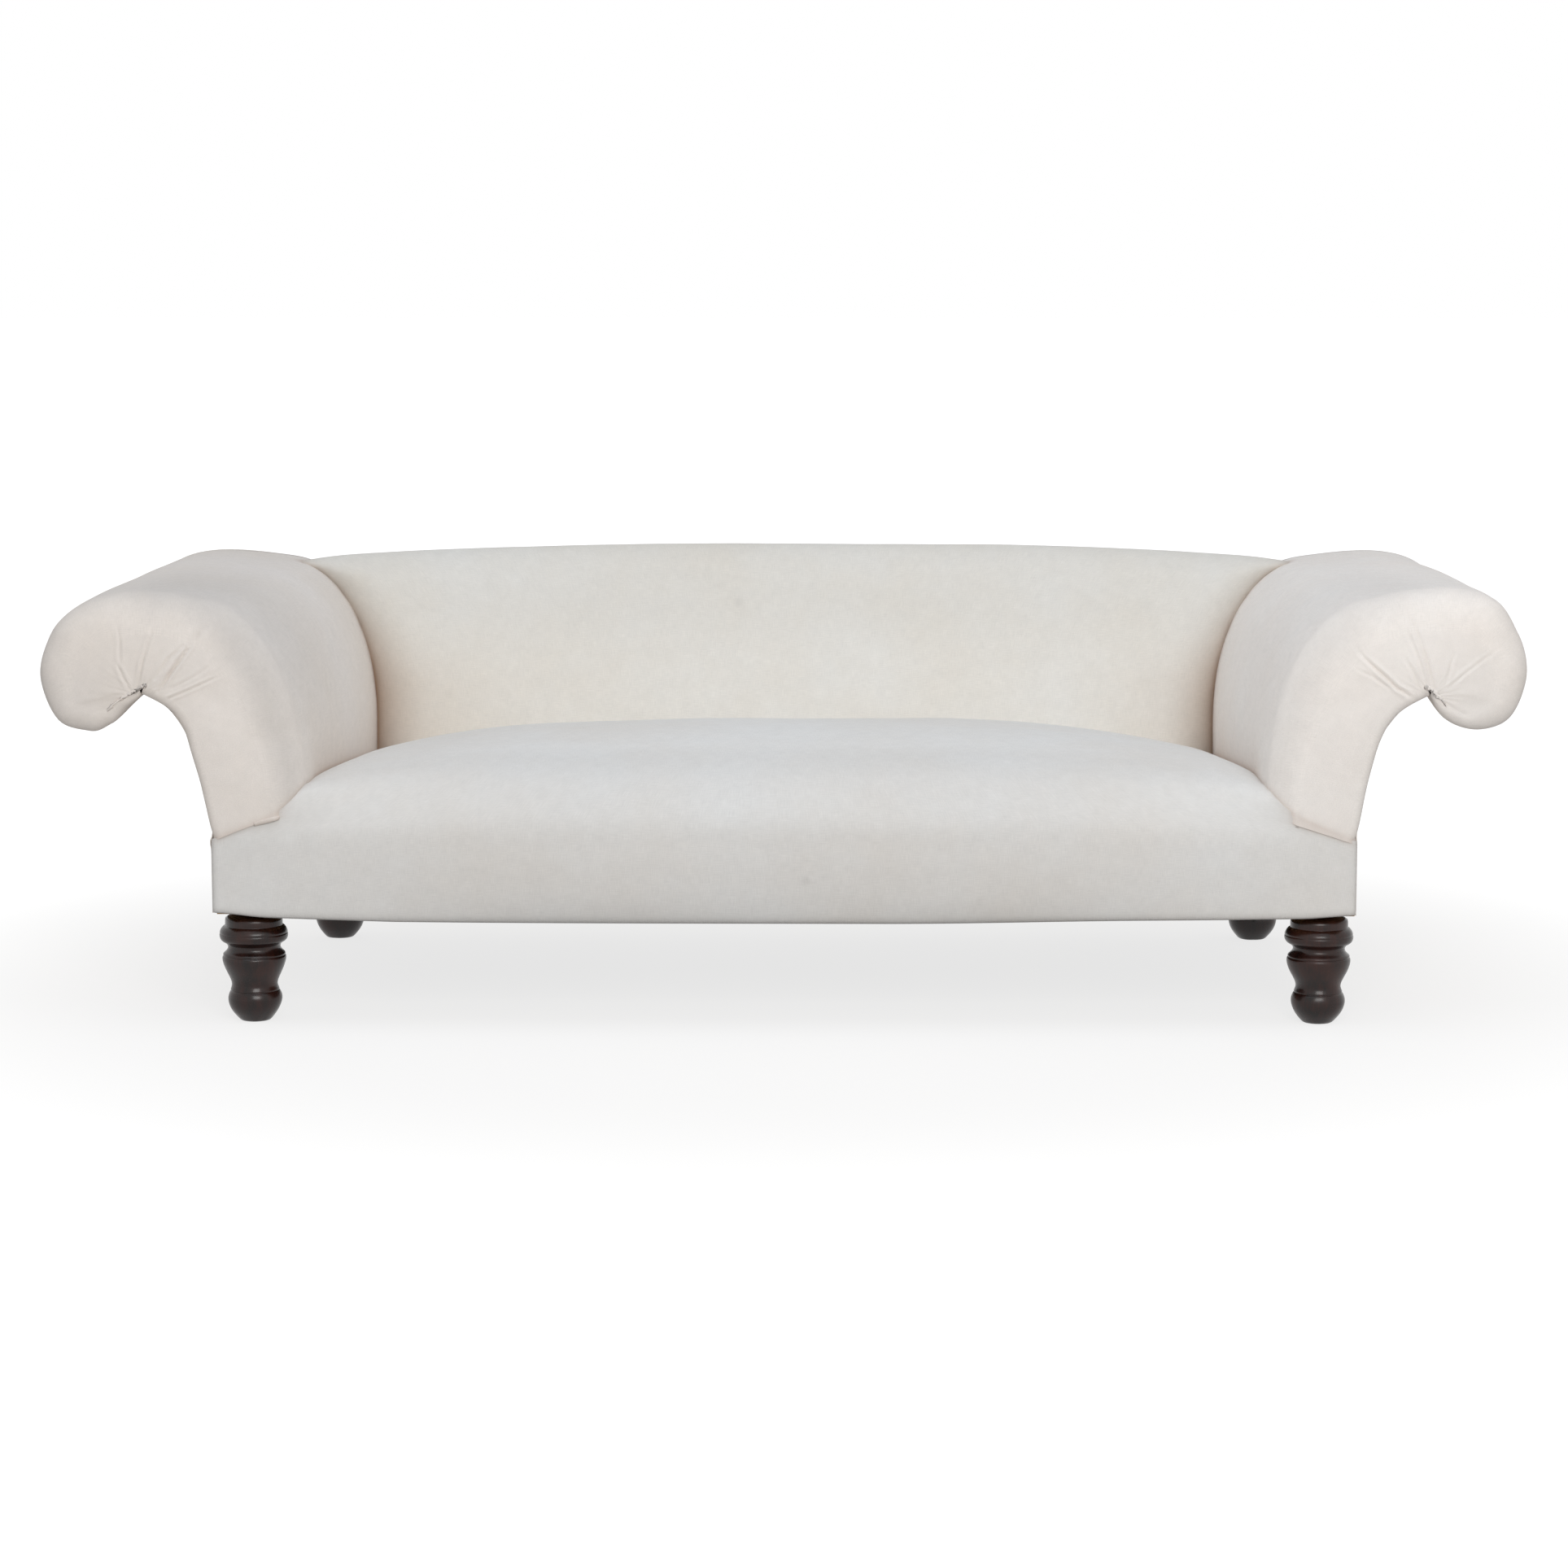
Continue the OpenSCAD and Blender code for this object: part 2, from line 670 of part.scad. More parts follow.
// Turned leg. Each member is a table of shares: of its own width, and of the leg's height.
foot_shares = [[0.86, 0.09], [1, 0.215], [0.93, 0.27]];
foot_line_shares = [[0.88, 0.285], [0.86, 0.293]];
waist_shares = [[1, 0.35]];
vase_shares = [[0.82, 0.46], [0.97, 0.54], [1, 0.60]];
vase_line_shares = [[0.97, 0.608], [0.97, 0.636], [0.93, 0.645], [0.91, 0.651]];
cove_shares = [[1, 0.70]];
ring_low_shares = [[0.86, 0.745]];
// The ring is a bead: its middle, half its height and its depth as shares
ring_share = 0.815;
ring_half_share = 0.075;
ring_bead_share = 0.1;
ring_line_share = 0.012;
collar_share = 0.9;
line_cut = 1.4;
leg_steps = 4;

function member(shares, w) = [for (s = shares) [s[0] * w / 2, s[1] * leg_h]];

// Half of the ring's bead between two angles
function bead(from, to, share) =
  [for (a = [from:20:to])
    [(1 - ring_bead_share * (1 - cos(a))) * leg_ring_w / 2,
     (share + ring_half_share * sin(a)) * leg_h]];

function leg_profile() = concat(
  curve(concat([[leg_toe_w / 2, 0]], member(foot_shares, leg_foot_w)), leg_steps),
  curve(concat(member(foot_line_shares, leg_foot_w), member(waist_shares, leg_waist_w),
    member(vase_shares, leg_vase_w)), leg_steps),
  curve(concat(member(vase_line_shares, leg_vase_w), member(cove_shares, leg_cove_w),
    member(ring_low_shares, leg_ring_w)), leg_steps),
  bead(-80, 0, ring_share),
  [[leg_ring_w / 2 - line_cut, (ring_share + ring_line_share / 2) * leg_h]],
  bead(10, 90, ring_share + ring_line_share - ring_half_share * sin(10)),
  [[leg_collar_w / 2, collar_share * leg_h], [leg_collar_w / 2, leg_h]]);

module leg(x, d) color(leg_colour) translate([x, front_y + d, 0]) {
  rotate_extrude() polygon(concat([[0, 0]], leg_profile(), [[0, leg_h]]));
  cylinder(d = spigot_w, h = leg_h + spigot_l);
}

// Seat suspension

column_x = [for (i = [0:spring_columns - 1]) (i - (spring_columns - 1) / 2) * spring_pitch_x];
row_d = [for (i = [0:spring_rows - 1]) spring_first_d + i * spring_pitch_d];
web_rows_d = concat(row_d, [spring_first_d + spring_rows * spring_pitch_d]);
web_top = rail_z - gap;

// At odd crossings the lengthwise web passes over
function over_cross(column, row) = (column + row) % 2 == 1;

module crosswise_seat_webbing() color(hessian_colour)
  for (x = column_x)
    box([x - web_w / 2, rail_front_d + overrun, web_top - web_t],
      [x + web_w / 2, frame_back_d - overrun, web_top]);

module lengthwise_seat_webbing() color(hessian_colour)
  for (r = [0:len(web_rows_d) - 1]) {
    flat = web_w;
    end = rail_x - overrun;
    line = concat(
      [[-end, 0], [-rail_x + rail_t, 0]],
      [for (c = [0:spring_columns - 1], side = [-1, 1])
        [column_x[c] + side * flat, (over_cross(c, r) ? 1 : -1) * (web_t + gap)]],
      [[rail_x - rail_t, 0], [end, 0]]);
    last = len(line) - 1;
    translate([0, front_y + web_rows_d[r] + web_w / 2, web_top - web_t]) rotate([90, 0, 0])
      linear_extrude(web_w)
        polygon(concat(line, [for (i = [last:-1:0]) line[i] + [0, web_t]]));
  }

// Double-cone spring, one tube from its lower end to its upper end
curl_rings = 8;
wire_sides = 4;
flat_share = 0.75;
function spring_point(t, low) =
  let (wide = abs(2 * t - 1), rise = t - flat_share * sin(360 * t) / (2 * PI),
    r = (spring_waist_w + (spring_end_w - spring_waist_w) * wide * wide) / 2 - wire_w / 2)
  [r * cos(360 * spring_curls * t), r * sin(360 * spring_curls * t),
   low + wire_w / 2 + (spring_top - low - wire_w) * rise];

module spring(low) {
  count = spring_curls * curl_rings;
  step = 0.02 / count;
  loft([for (k = [0:count])
    let (t = k / count, p = spring_point(t, low),
      way = spring_point(t + step, low) - spring_point(t - step, low),
      out = [p[0], p[1], 0] / norm([p[0], p[1]]), up = cross(way, out) / norm(cross(way, out)))
    [for (s = [0:wire_sides - 1]) let (a = 360 * (s + 0.5) / wire_sides)
      p + wire_w / 2 * (cos(a) * out - sin(a) * up)]]);
}

spring_path = [for (k = [0:spring_curls * curl_rings])
  spring_point(k / (spring_curls * curl_rings), web_top)];
spring_self_gap = min([for (i = [0:len(spring_path) - 1], j = [0:len(spring_path) - 1])
  if (j - i >= curl_rings / 2) norm(spring_path[j] - spring_path[i])]) - wire_w;
echo(str("least gap of a seat spring to itself: ", spring_self_gap, " mm"));

module seat_springs() color(steel_colour)
  for (c = [0:spring_columns - 1], r = [0:spring_rows - 1])
    translate([column_x[c], front_y + row_d[r], 0])
      spring(web_top + gap + (over_cross(c, r) ? web_t + gap : 0));

module spring_lashing() color("wheat") {
  for (d = row_d)
    translate([-rail_x + rail_t + gap, front_y + d, lash_z + cord_w / 2])
      rotate([0, 90, 0]) cylinder(d = cord_w, h = 2 * (rail_x - rail_t - gap));
  for (x = column_x)
    translate([x, front_y + side_rail_d1 - hessian_rise, lash_z + cord_w * 1.5 + gap / 2])
      rotate([90, 0, 0]) cylinder(d = cord_w, h = side_rail_d1 - side_rail_d0 - 2 * hessian_rise);
}

// The hessian is cut round the posts
module seat_hessian() color(hessian_colour) {
  low = hessian_line(0);
  last = len(low) - 1;
  difference() {
    along_width(-seat_x, seat_x)
      polygon(concat(low, [for (i = [last:-1:0]) hessian_line(hessian_t)[i]]));
    for (side = [-1, 1])
      box([side * post_x - post_w / 2 - gap, back_frame_d - gap, rail_z],
        [side * post_x + post_w / 2 + gap, back_d, back_h]);
  }
  for (side = [0, 1]) mirror([side, 0, 0])
    box([seat_x - overrun, low[2][0], hessian_z],
      [rail_x - rail_t, low[3][0], hessian_z + hessian_t]);
}

// Soft pieces

module seat_stuffing() color(hair_colour) difference() {
  seat_form(skin);
  under_seat();
  back_space();
}

module seat_cover() color(calico_colour) difference() {
  seat_form(0);
  seat_form(cloth_t, overrun);
  back_space();
}

module arm_hessian() color(hessian_colour) {
  outer = moved(arm_line, arm_insets(0, arm_pad_t + gap));
  inner = moved(arm_line, arm_insets(0, arm_pad_t + gap + hessian_t));
  along_depth(front_board_d, back_board_d - gap)
    polygon(concat([for (i = [nook + 1:arm_last]) outer[i]],
      [for (i = [arm_last:-1:nook + 1]) inner[i]]));
}

module arm_stuffing() color(hair_colour) difference() {
  arm_form(skin, back_d);
  border_space(gap);
  along_depth(front_board_d - gap, back_d) arm_shape(-arm_under_r, arm_pad_t, rail_z);
  along_depth(back_board_d - gap, back_d)
    translate([arm_in_x - overrun, rail_z]) square([overall_w, back_h]);
  box([arm_in_x - overrun, side_rail_d0, rail_z],
    [board_foot_in, back_d, hessian_z + hessian_t + gap]);
}

module arm_cover() color(calico_colour) difference() {
  arm_form(0, back_d);
  arm_form(cloth_t, back_d + overrun, overrun);
  border_space(gap);
  along_depth(back_d - skin, back_d + overrun)
    translate([arm_in_x - overrun, 0]) square([overall_w, overall_w]);
  along_depth(arm_under_r, back_d) {
    line = moved(arm_line, arm_insets(-arm_under_r, arm_under_r));
    polygon(concat([for (i = [0:nook]) line[i]],
      [[arm_line[nook][0] - arm_base_t / 2, arm_line[nook][1]],
       [base_x - arm_base_t / 2, rail_z], [line[0][0], rail_z]]));
  }
}

module outside_arm_cover() color(calico_colour)
  along_depth(arm_under_r + gap, back_d - skin) {
    outer = moved(arm_line, arm_insets(0, 0));
    inner = moved(arm_line, arm_insets(cloth_t, cloth_t));
    polygon(concat([[base_x, hem_z]], [for (i = [0:nook - 1]) outer[i]],
      [for (i = [nook - 1:-1:0]) inner[i]], [[base_x - cloth_t, hem_z]]));
  }

back_web_count = 7;
module back_webbing() color(hessian_colour)
  for (k = [0:back_web_count - 1]) {
    x = (k - (back_web_count - 1) / 2) * spring_pitch_x;
    box([x - web_w / 2, back_web_d, back_foot_z],
      [x + web_w / 2, back_web_d + web_t, back_top(abs(x) + web_w) - back_top_pad]);
  }

module back_hessian() color(hessian_colour)
  along_depth(back_web_d - gap - hessian_t, back_web_d - gap) intersection() {
    arch_shape(back_top_pad, back_foot_z);
    between_arms();
  }

module back_stuffing() color(hair_colour) difference() {
  back_form(skin);
  along_depth(back_pad_d, back_d + overrun) arch_shape(back_top_pad - gap, 0);
}

// Behind the top rail the inside back cover is turned down this far and tacked
cover_turn = 95;
module inside_back_cover() color(calico_colour) difference() {
  back_form(0);
  back_form(cloth_t, overrun);
  along_depth(back_frame_d, back_d) arch_shape(cover_turn, 0);
}

module outside_back_cover() color(calico_colour)
  along_depth(back_d - cloth_t, back_d) {
    edge = [for (p = moved(arm_line, arm_insets(0, cloth_t)))
      if (p[0] >= base_x || p[1] > back_top(p[0]) - back_roll_d) p];
    last = len(edge) - 1;
    polygon(concat([[base_x, hem_z]], edge,
      [for (k = [1:arch_steps - 1]) let (x = (1 - 2 * k / arch_steps) * edge[last][0])
        [x, back_top(x) - back_roll_d]],
      [for (i = [last:-1:0]) [-edge[i][0], edge[i][1]]], [[-base_x, hem_z]]));
  }

// The bottom cloth is cut away at its corners, round the legs and the corner blocks
cloth_in = 14;
leg_room = 8;
module cloth_corner(leg_x, leg_d, edge_d, corner_d, back) {
  hull() {
    translate([leg_x, front_y + leg_d]) circle(d = leg_collar_w + 2 * leg_room);
    translate([base_x, front_y + edge_d]) circle(r = leg_room);
  }
  offset(delta = leg_room) block_plan(corner_d, back);
}
module bottom_cloth() color("#3a3834") difference() {
  box([-base_x + cloth_in, cloth_in, hem_z],
    [base_x - cloth_in, frame_back_d - cloth_in, hem_z + cloth_t]);
  for (side = [0, 1]) mirror([side, 0, 0]) translate([0, 0, leg_h])
    linear_extrude(web_room) {
      cloth_corner(front_leg_x, front_leg_in, 0, front_block_d, false);
      cloth_corner(back_leg_x, back_leg_d, back_d, back_block_d, true);
    }
}

front_seat_rail();
back_seat_rail();
left() side_seat_rail();  // left_seat_rail
right() side_seat_rail();  // right_seat_rail
left() seat_brace();  // left_seat_brace
right() seat_brace();  // right_seat_brace
left() corner_block(front_leg_x, front_leg_in, front_block_d, false);  // front_left_corner_block
right() corner_block(front_leg_x, front_leg_in, front_block_d, false);  // front_right_corner_block
left() corner_block(back_leg_x, back_leg_d, back_block_d, true);  // back_left_corner_block
right() corner_block(back_leg_x, back_leg_d, back_block_d, true);  // back_right_corner_block
corner_block_screws();
joint_dowels();
left() arm_front_board();  // left_arm_front_board
right() arm_front_board();  // right_arm_front_board
left() arm_back_board();  // left_arm_back_board
right() arm_back_board();  // right_arm_back_board
left() arm_rail(arm_top_rail_place);  // left_arm_top_rail
right() arm_rail(arm_top_rail_place);  // right_arm_top_rail
left() arm_rail(arm_scroll_rail_place);  // left_arm_scroll_rail
right() arm_rail(arm_scroll_rail_place);  // right_arm_scroll_rail
left() arm_rail(arm_stuffing_rail_place);  // left_arm_stuffing_rail
right() arm_rail(arm_stuffing_rail_place);  // right_arm_stuffing_rail
back_top_rail();
left() back_post();  // back_left_post
right() back_post();  // back_right_post
back_stuffing_rails();
leg(-front_leg_x, front_leg_in);  // front_left_leg
leg(front_leg_x, front_leg_in);  // front_right_leg
leg(-back_leg_x, back_leg_d);  // back_left_leg
leg(back_leg_x, back_leg_d);  // back_right_leg
lengthwise_seat_webbing();
crosswise_seat_webbing();
seat_springs();
spring_lashing();
seat_hessian();
seat_stuffing();
seat_cover();
left() arm_hessian();  // left_arm_hessian
right() arm_hessian();  // right_arm_hessian
left() arm_stuffing();  // left_arm_stuffing
right() arm_stuffing();  // right_arm_stuffing
left() arm_cover();  // left_arm_cover
right() arm_cover();  // right_arm_cover
left() outside_arm_cover();  // left_outside_arm_cover
right() outside_arm_cover();  // right_outside_arm_cover
back_webbing();
back_hessian();
back_stuffing();
inside_back_cover();
outside_back_cover();
bottom_cloth();
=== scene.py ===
import json
from bisect import bisect_right
from math import cos, exp, hypot, pi, radians, sin, sqrt

import bmesh
import bpy
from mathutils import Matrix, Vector, noise
from mathutils.bvhtree import BVHTree


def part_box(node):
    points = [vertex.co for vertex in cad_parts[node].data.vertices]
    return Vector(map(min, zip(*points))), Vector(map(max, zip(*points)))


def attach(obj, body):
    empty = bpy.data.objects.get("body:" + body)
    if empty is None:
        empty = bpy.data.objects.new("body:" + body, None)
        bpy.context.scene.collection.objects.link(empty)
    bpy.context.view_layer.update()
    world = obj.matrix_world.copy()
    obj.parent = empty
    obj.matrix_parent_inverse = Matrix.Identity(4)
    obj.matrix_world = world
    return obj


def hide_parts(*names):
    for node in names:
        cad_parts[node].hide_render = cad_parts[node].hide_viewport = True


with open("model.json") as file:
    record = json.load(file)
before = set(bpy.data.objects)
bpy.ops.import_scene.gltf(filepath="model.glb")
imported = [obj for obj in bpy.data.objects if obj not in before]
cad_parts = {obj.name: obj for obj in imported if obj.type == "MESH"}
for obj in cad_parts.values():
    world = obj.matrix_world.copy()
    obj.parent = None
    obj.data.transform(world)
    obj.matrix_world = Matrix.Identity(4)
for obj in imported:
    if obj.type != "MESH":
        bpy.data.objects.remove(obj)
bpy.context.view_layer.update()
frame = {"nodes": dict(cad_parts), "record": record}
print("frame loaded with", len(frame["nodes"]), "nodes")

# sizes that several pieces share, in metres
sofa = dict(frontY=-0.424, backY=0.446, baseX=0.874, scrollOut=0.260, armFoot=0.142,
            armLow=0.2883, armTop=0.673, hemZ=0.1666, seatDepth=0.692,
            backTop=0.687, backDrop=0.029, backFootZ=0.3006)


def clamp(value, low=0.0, high=1.0):
    return min(max(value, low), high)


def ease(value):
    value = clamp(value)
    return value * value * (3 - 2 * value)


def smoothThrough(points, steps=8):
    # a smooth open curve through the points
    points = [Vector(p) for p in points]
    last = len(points) - 1
    line = []
    for i in range(last):
        a, b, c, d = points[max(i - 1, 0)], points[i], points[i + 1], points[min(i + 2, last)]
        for k in range(steps):
            t = k / steps
            line.append(0.5 * (2 * b + (c - a) * t + (2 * a - 5 * b + 4 * c - d) * t * t
                               + (3 * b - a - 3 * c + d) * t ** 3))
    return line + [points[last]]


def measured(line):
    # a function that gives the point at a share of the line's length
    run = [0.0]
    for a, b in zip(line, line[1:]):
        run.append(run[-1] + (b - a).length)

    def at(share):
        far = clamp(share) * run[-1]
        i = min(max(bisect_right(run, far) - 1, 0), len(line) - 2)
        return line[i].lerp(line[i + 1], (far - run[i]) / (run[i + 1] - run[i]))
    at.length = run[-1]
    return at


def leftOf(at, share):
    # unit normal on the left of a flat line
    way = at(share + 0.004) - at(share - 0.004)
    return Vector((-way.y, way.x)).normalized()


def rowAt(rows, at):
    # the values of a table at a place in its first column, eased from row to row
    for low, high in zip(rows, rows[1:]):
        if at <= high[0]:
            t = ease((at - low[0]) / (high[0] - low[0]))
            return [a + (b - a) * t for a, b in zip(low[1:], high[1:])]
    return list(rows[-1][1:])


def finish(bm, name, material, outward, wall=0.0, replace=()):
    # turns a bmesh into a piece; outward is the way that its middle face looks
    bm.faces.ensure_lookup_table()
    bm.normal_update()
    face = bm.faces[len(bm.faces) // 2]
    if face.normal.dot(Vector(outward)) < 0:
        bmesh.ops.reverse_faces(bm, faces=bm.faces[:])
    mesh = bpy.data.meshes.new(name)
    bm.to_mesh(mesh)
    bm.free()
    for polygon in mesh.polygons:
        polygon.use_smooth = True
    mesh.materials.append(material)
    piece = bpy.data.objects.new(name, mesh)
    bpy.context.scene.collection.objects.link(piece)
    if wall:
        thick = piece.modifiers.new("wall", "SOLIDIFY")
        thick.thickness, thick.offset = wall, -1
    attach(piece, "root")
    if replace:
        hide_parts(*replace)
    return piece


def addLayer(piece, name, values):
    # one number for each corner of the piece, read by its material
    layer = piece.data.attributes.new(name, "FLOAT", "POINT")
    layer.data.foreach_set("value", [clamp(value) for value in values])


def clothGrid(columns, rows, place, cut=(1, 1)):
    # a woven sheet of columns by rows, each corner put in its place; cut is its real size
    bm = bmesh.new()
    bmesh.ops.create_grid(bm, x_segments=columns, y_segments=rows, size=0.5)
    share = {v: (clamp(v.co.x + 0.5), clamp(v.co.y + 0.5)) for v in bm.verts}
    weave = bm.loops.layers.uv.new("weave")
    for face in bm.faces:
        for loop in face.loops:
            across, along = share[loop.vert]
            loop[weave].uv = (across * cut[0], along * cut[1])
    for v in bm.verts:
        v.co = place(*share[v])
    return bm


# materials


def newMaterial(name):
    material = bpy.data.materials.new(name)
    material.use_nodes = True
    tree = material.node_tree
    shader = tree.nodes["Principled BSDF"]
    return material, tree, shader


def addNode(tree, kind, inputs=None, **settings):
    node = tree.nodes.new(kind)
    for key, value in settings.items():
        setattr(node, key, value)
    for key, value in (inputs or {}).items():
        if isinstance(value, bpy.types.NodeSocket):
            tree.links.new(value, node.inputs[key])
        else:
            node.inputs[key].default_value = value
    return node


def mixColour(tree, factor, a, b, blend="MIX"):
    node = addNode(tree, "ShaderNodeMix", data_type="RGBA", blend_type=blend)
    for socket, value in ((node.inputs[0], factor), (node.inputs[6], a), (node.inputs[7], b)):
        if isinstance(value, bpy.types.NodeSocket):
            tree.links.new(value, socket)
        else:
            socket.default_value = value
    return node.outputs[2]


def linear(red, green, blue):
    # a colour as seen on a screen, turned into light
    def one(value):
        value /= 255
        return value / 12.92 if value <= 0.04045 else ((value + 0.055) / 1.055) ** 2.4
    return (one(red), one(green), one(blue), 1)


# faint marks in the cloth: place, radius and strength
marks = [((-0.095, 0.30, 0.592), 0.012, 0.5), ((0.140, -0.20, 0.40), 0.013, 0.5),
         ((0.118, -0.30, 0.385), 0.012, 0.35), ((0.034, -0.44, 0.232), 0.010, 0.45),
         ((0.707, -0.38, 0.36), 0.012, 0.45), ((0.23, 0.30, 0.50), 0.016, 0.3)]


def makeCalico(name, tint, warm):
    material, tree, shader = newMaterial(name)
    where = addNode(tree, "ShaderNodeTexCoord")
    weave = addNode(tree, "ShaderNodeUVMap", uv_map="weave")
    # cloud of warmer and cooler patches, and finer mottling
    cloud = addNode(tree, "ShaderNodeTexNoise",
                    {"Vector": where.outputs["Object"], "Scale": 3.1, "Detail": 5.0,
                     "Roughness": 0.6})
    patch = addNode(tree, "ShaderNodeMapRange",
                    {"Value": cloud.outputs["Fac"], "From Min": 0.32, "From Max": 0.68})
    colour = mixColour(tree, patch.outputs[0], tint, warm)
    mottle = addNode(tree, "ShaderNodeTexNoise",
                     {"Vector": where.outputs["Object"], "Scale": 46.0, "Detail": 6.0,
                      "Roughness": 0.7})
    grey = addNode(tree, "ShaderNodeMapRange",
                   {"Value": mottle.outputs["Fac"], "From Min": 0.3, "From Max": 0.7,
                    "To Min": 0.965, "To Max": 1.02})
    colour = mixColour(tree, 1.0, colour, grey.outputs[0], "MULTIPLY")
    # slubs: longer and thicker threads in both directions
    height = None
    for turn, stretch in ((0, (1400, 60, 1)), (1, (60, 1400, 1))):
        run = addNode(tree, "ShaderNodeMapping", {"Vector": weave.outputs["UV"],
                                                 "Scale": stretch})
        slub = addNode(tree, "ShaderNodeTexNoise",
                       {"Vector": run.outputs[0], "Scale": 1.0, "Detail": 2.0})
        thread = addNode(tree, "ShaderNodeMapRange",
                         {"Value": slub.outputs["Fac"], "From Min": 0.3, "From Max": 0.7,
                          "To Min": 0.95, "To Max": 1.03})
        colour = mixColour(tree, 1.0, colour, thread.outputs[0], "MULTIPLY")
        height = thread.outputs[0] if height is None else addNode(
            tree, "ShaderNodeMath", {0: height, 1: thread.outputs[0]},
            operation="ADD").outputs[0]
    for place, radius, strength in marks:
        far = addNode(tree, "ShaderNodeVectorMath",
                      {0: where.outputs["Object"], 1: place}, operation="DISTANCE")
        spot = addNode(tree, "ShaderNodeMapRange",
                       {"Value": far.outputs["Value"], "From Min": radius * 0.3,
                        "From Max": radius, "To Min": strength * 0.3, "To Max": 0.0})
        colour = mixColour(tree, spot.outputs[0], colour, linear(150, 146, 142))
    # painted shade: the crease layer darkens and warms the cloth near where covers meet, the
    # shade layer greys it where less light falls
    for layer, tone in (("crease", (0.42, 0.26, 0.165, 1)), ("shade", (0.0, 0.02, 0.04, 1))):
        wearAndPaintedShade = addNode(tree, "ShaderNodeAttribute", attribute_name=layer)
        colour = mixColour(tree, wearAndPaintedShade.outputs["Fac"], colour, tone, "MULTIPLY")
    tree.links.new(colour, shader.inputs["Base Color"])
    # plain weave: one thread over, one under
    bands = []
    for direction in ("X", "Y"):
        wave = addNode(tree, "ShaderNodeTexWave",
                       {"Vector": weave.outputs["UV"], "Scale": 270.0, "Distortion": 0.6,
                        "Detail": 1.0, "Detail Scale": 3.0},
                       wave_type="BANDS", bands_direction=direction)
        bands.append(wave.outputs["Fac"])
    cross = addNode(tree, "ShaderNodeMath", {0: bands[0], 1: bands[1]}, operation="MAXIMUM")
    rough = addNode(tree, "ShaderNodeMath", {0: cross.outputs[0], 1: height},
                    operation="ADD")
    bump = addNode(tree, "ShaderNodeBump", {"Height": rough.outputs[0], "Strength": 0.35,
                                            "Distance": 0.0004})
    crumple = addNode(tree, "ShaderNodeTexNoise",
                      {"Vector": where.outputs["Object"], "Scale": 24.0, "Detail": 3.0})
    soft = addNode(tree, "ShaderNodeBump",
                   {"Height": crumple.outputs["Fac"], "Strength": 0.25, "Distance": 0.003,
                    "Normal": bump.outputs[0]})
    tree.links.new(soft.outputs[0], shader.inputs["Normal"])
    shader.inputs["Roughness"].default_value = 0.92
    shader.inputs["Specular IOR Level"].default_value = 0.25
    shader.inputs["Sheen Weight"].default_value = 0.08
    shader.inputs["Sheen Roughness"].default_value = 0.5
    return material


def makeMahogany():
    material, tree, shader = newMaterial("darkMahogany")
    where = addNode(tree, "ShaderNodeTexCoord")
    grain = addNode(tree, "ShaderNodeMapping", {"Vector": where.outputs["Object"],
                                               "Scale": (95, 95, 6)})
    fibre = addNode(tree, "ShaderNodeTexNoise",
                    {"Vector": grain.outputs[0], "Scale": 1.0, "Detail": 8.0,
                     "Roughness": 0.62, "Distortion": 0.6})
    ramp = addNode(tree, "ShaderNodeValToRGB", {"Fac": fibre.outputs["Fac"]})
    ramp.color_ramp.elements[0].position, ramp.color_ramp.elements[1].position = 0.36, 0.72
    ramp.color_ramp.elements[0].color = linear(17, 8, 6)
    ramp.color_ramp.elements[1].color = linear(46, 20, 14)
    # the polish is worn lighter and duller in patches
    cloud = addNode(tree, "ShaderNodeTexNoise", {"Vector": where.outputs["Object"],
                                                "Scale": 21.0, "Detail": 4.0})
    wearAndPaintedShade = addNode(tree, "ShaderNodeMapRange", {"Value": cloud.outputs["Fac"],
                                                "From Min": 0.5, "From Max": 0.75,
                                                "To Min": 0.0, "To Max": 0.45})
    colour = mixColour(tree, wearAndPaintedShade.outputs[0], ramp.outputs[0], linear(66, 32, 22))
    tree.links.new(colour, shader.inputs["Base Color"])
    gloss = addNode(tree, "ShaderNodeMapRange", {"Value": cloud.outputs["Fac"],
                                                 "From Min": 0.3, "From Max": 0.75,
                                                 "To Min": 0.20, "To Max": 0.42})
    tree.links.new(gloss.outputs[0], shader.inputs["Roughness"])
    pores = addNode(tree, "ShaderNodeBump", {"Height": fibre.outputs["Fac"],
                                             "Strength": 0.35, "Distance": 0.0006})
    dents = addNode(tree, "ShaderNodeBump", {"Height": cloud.outputs["Fac"],
                                             "Strength": 0.3, "Distance": 0.002,
                                             "Normal": pores.outputs[0]})
    tree.links.new(dents.outputs[0], shader.inputs["Normal"])
    shader.inputs["Specular IOR Level"].default_value = 0.34
    shader.inputs["Coat Weight"].default_value = 0.12
    shader.inputs["Coat Roughness"].default_value = 0.14
    return material


def makeTimber():
    material, tree, shader = newMaterial("sawnBeech")
    where = addNode(tree, "ShaderNodeTexCoord")
    run = addNode(tree, "ShaderNodeMapping", {"Vector": where.outputs["Object"],
                                             "Scale": (9, 55, 55)})
    fibre = addNode(tree, "ShaderNodeTexNoise", {"Vector": run.outputs[0], "Scale": 1.0,
                                                "Detail": 7.0, "Distortion": 0.4})
    ramp = addNode(tree, "ShaderNodeValToRGB", {"Fac": fibre.outputs["Fac"]})
    ramp.color_ramp.elements[0].position, ramp.color_ramp.elements[1].position = 0.3, 0.7
    ramp.color_ramp.elements[0].color = linear(158, 116, 74)
    ramp.color_ramp.elements[1].color = linear(206, 168, 118)
    tree.links.new(ramp.outputs[0], shader.inputs["Base Color"])
    saw = addNode(tree, "ShaderNodeBump", {"Height": fibre.outputs["Fac"],
                                           "Strength": 0.4, "Distance": 0.0008})
    tree.links.new(saw.outputs[0], shader.inputs["Normal"])
    shader.inputs["Roughness"].default_value = 0.72
    return material


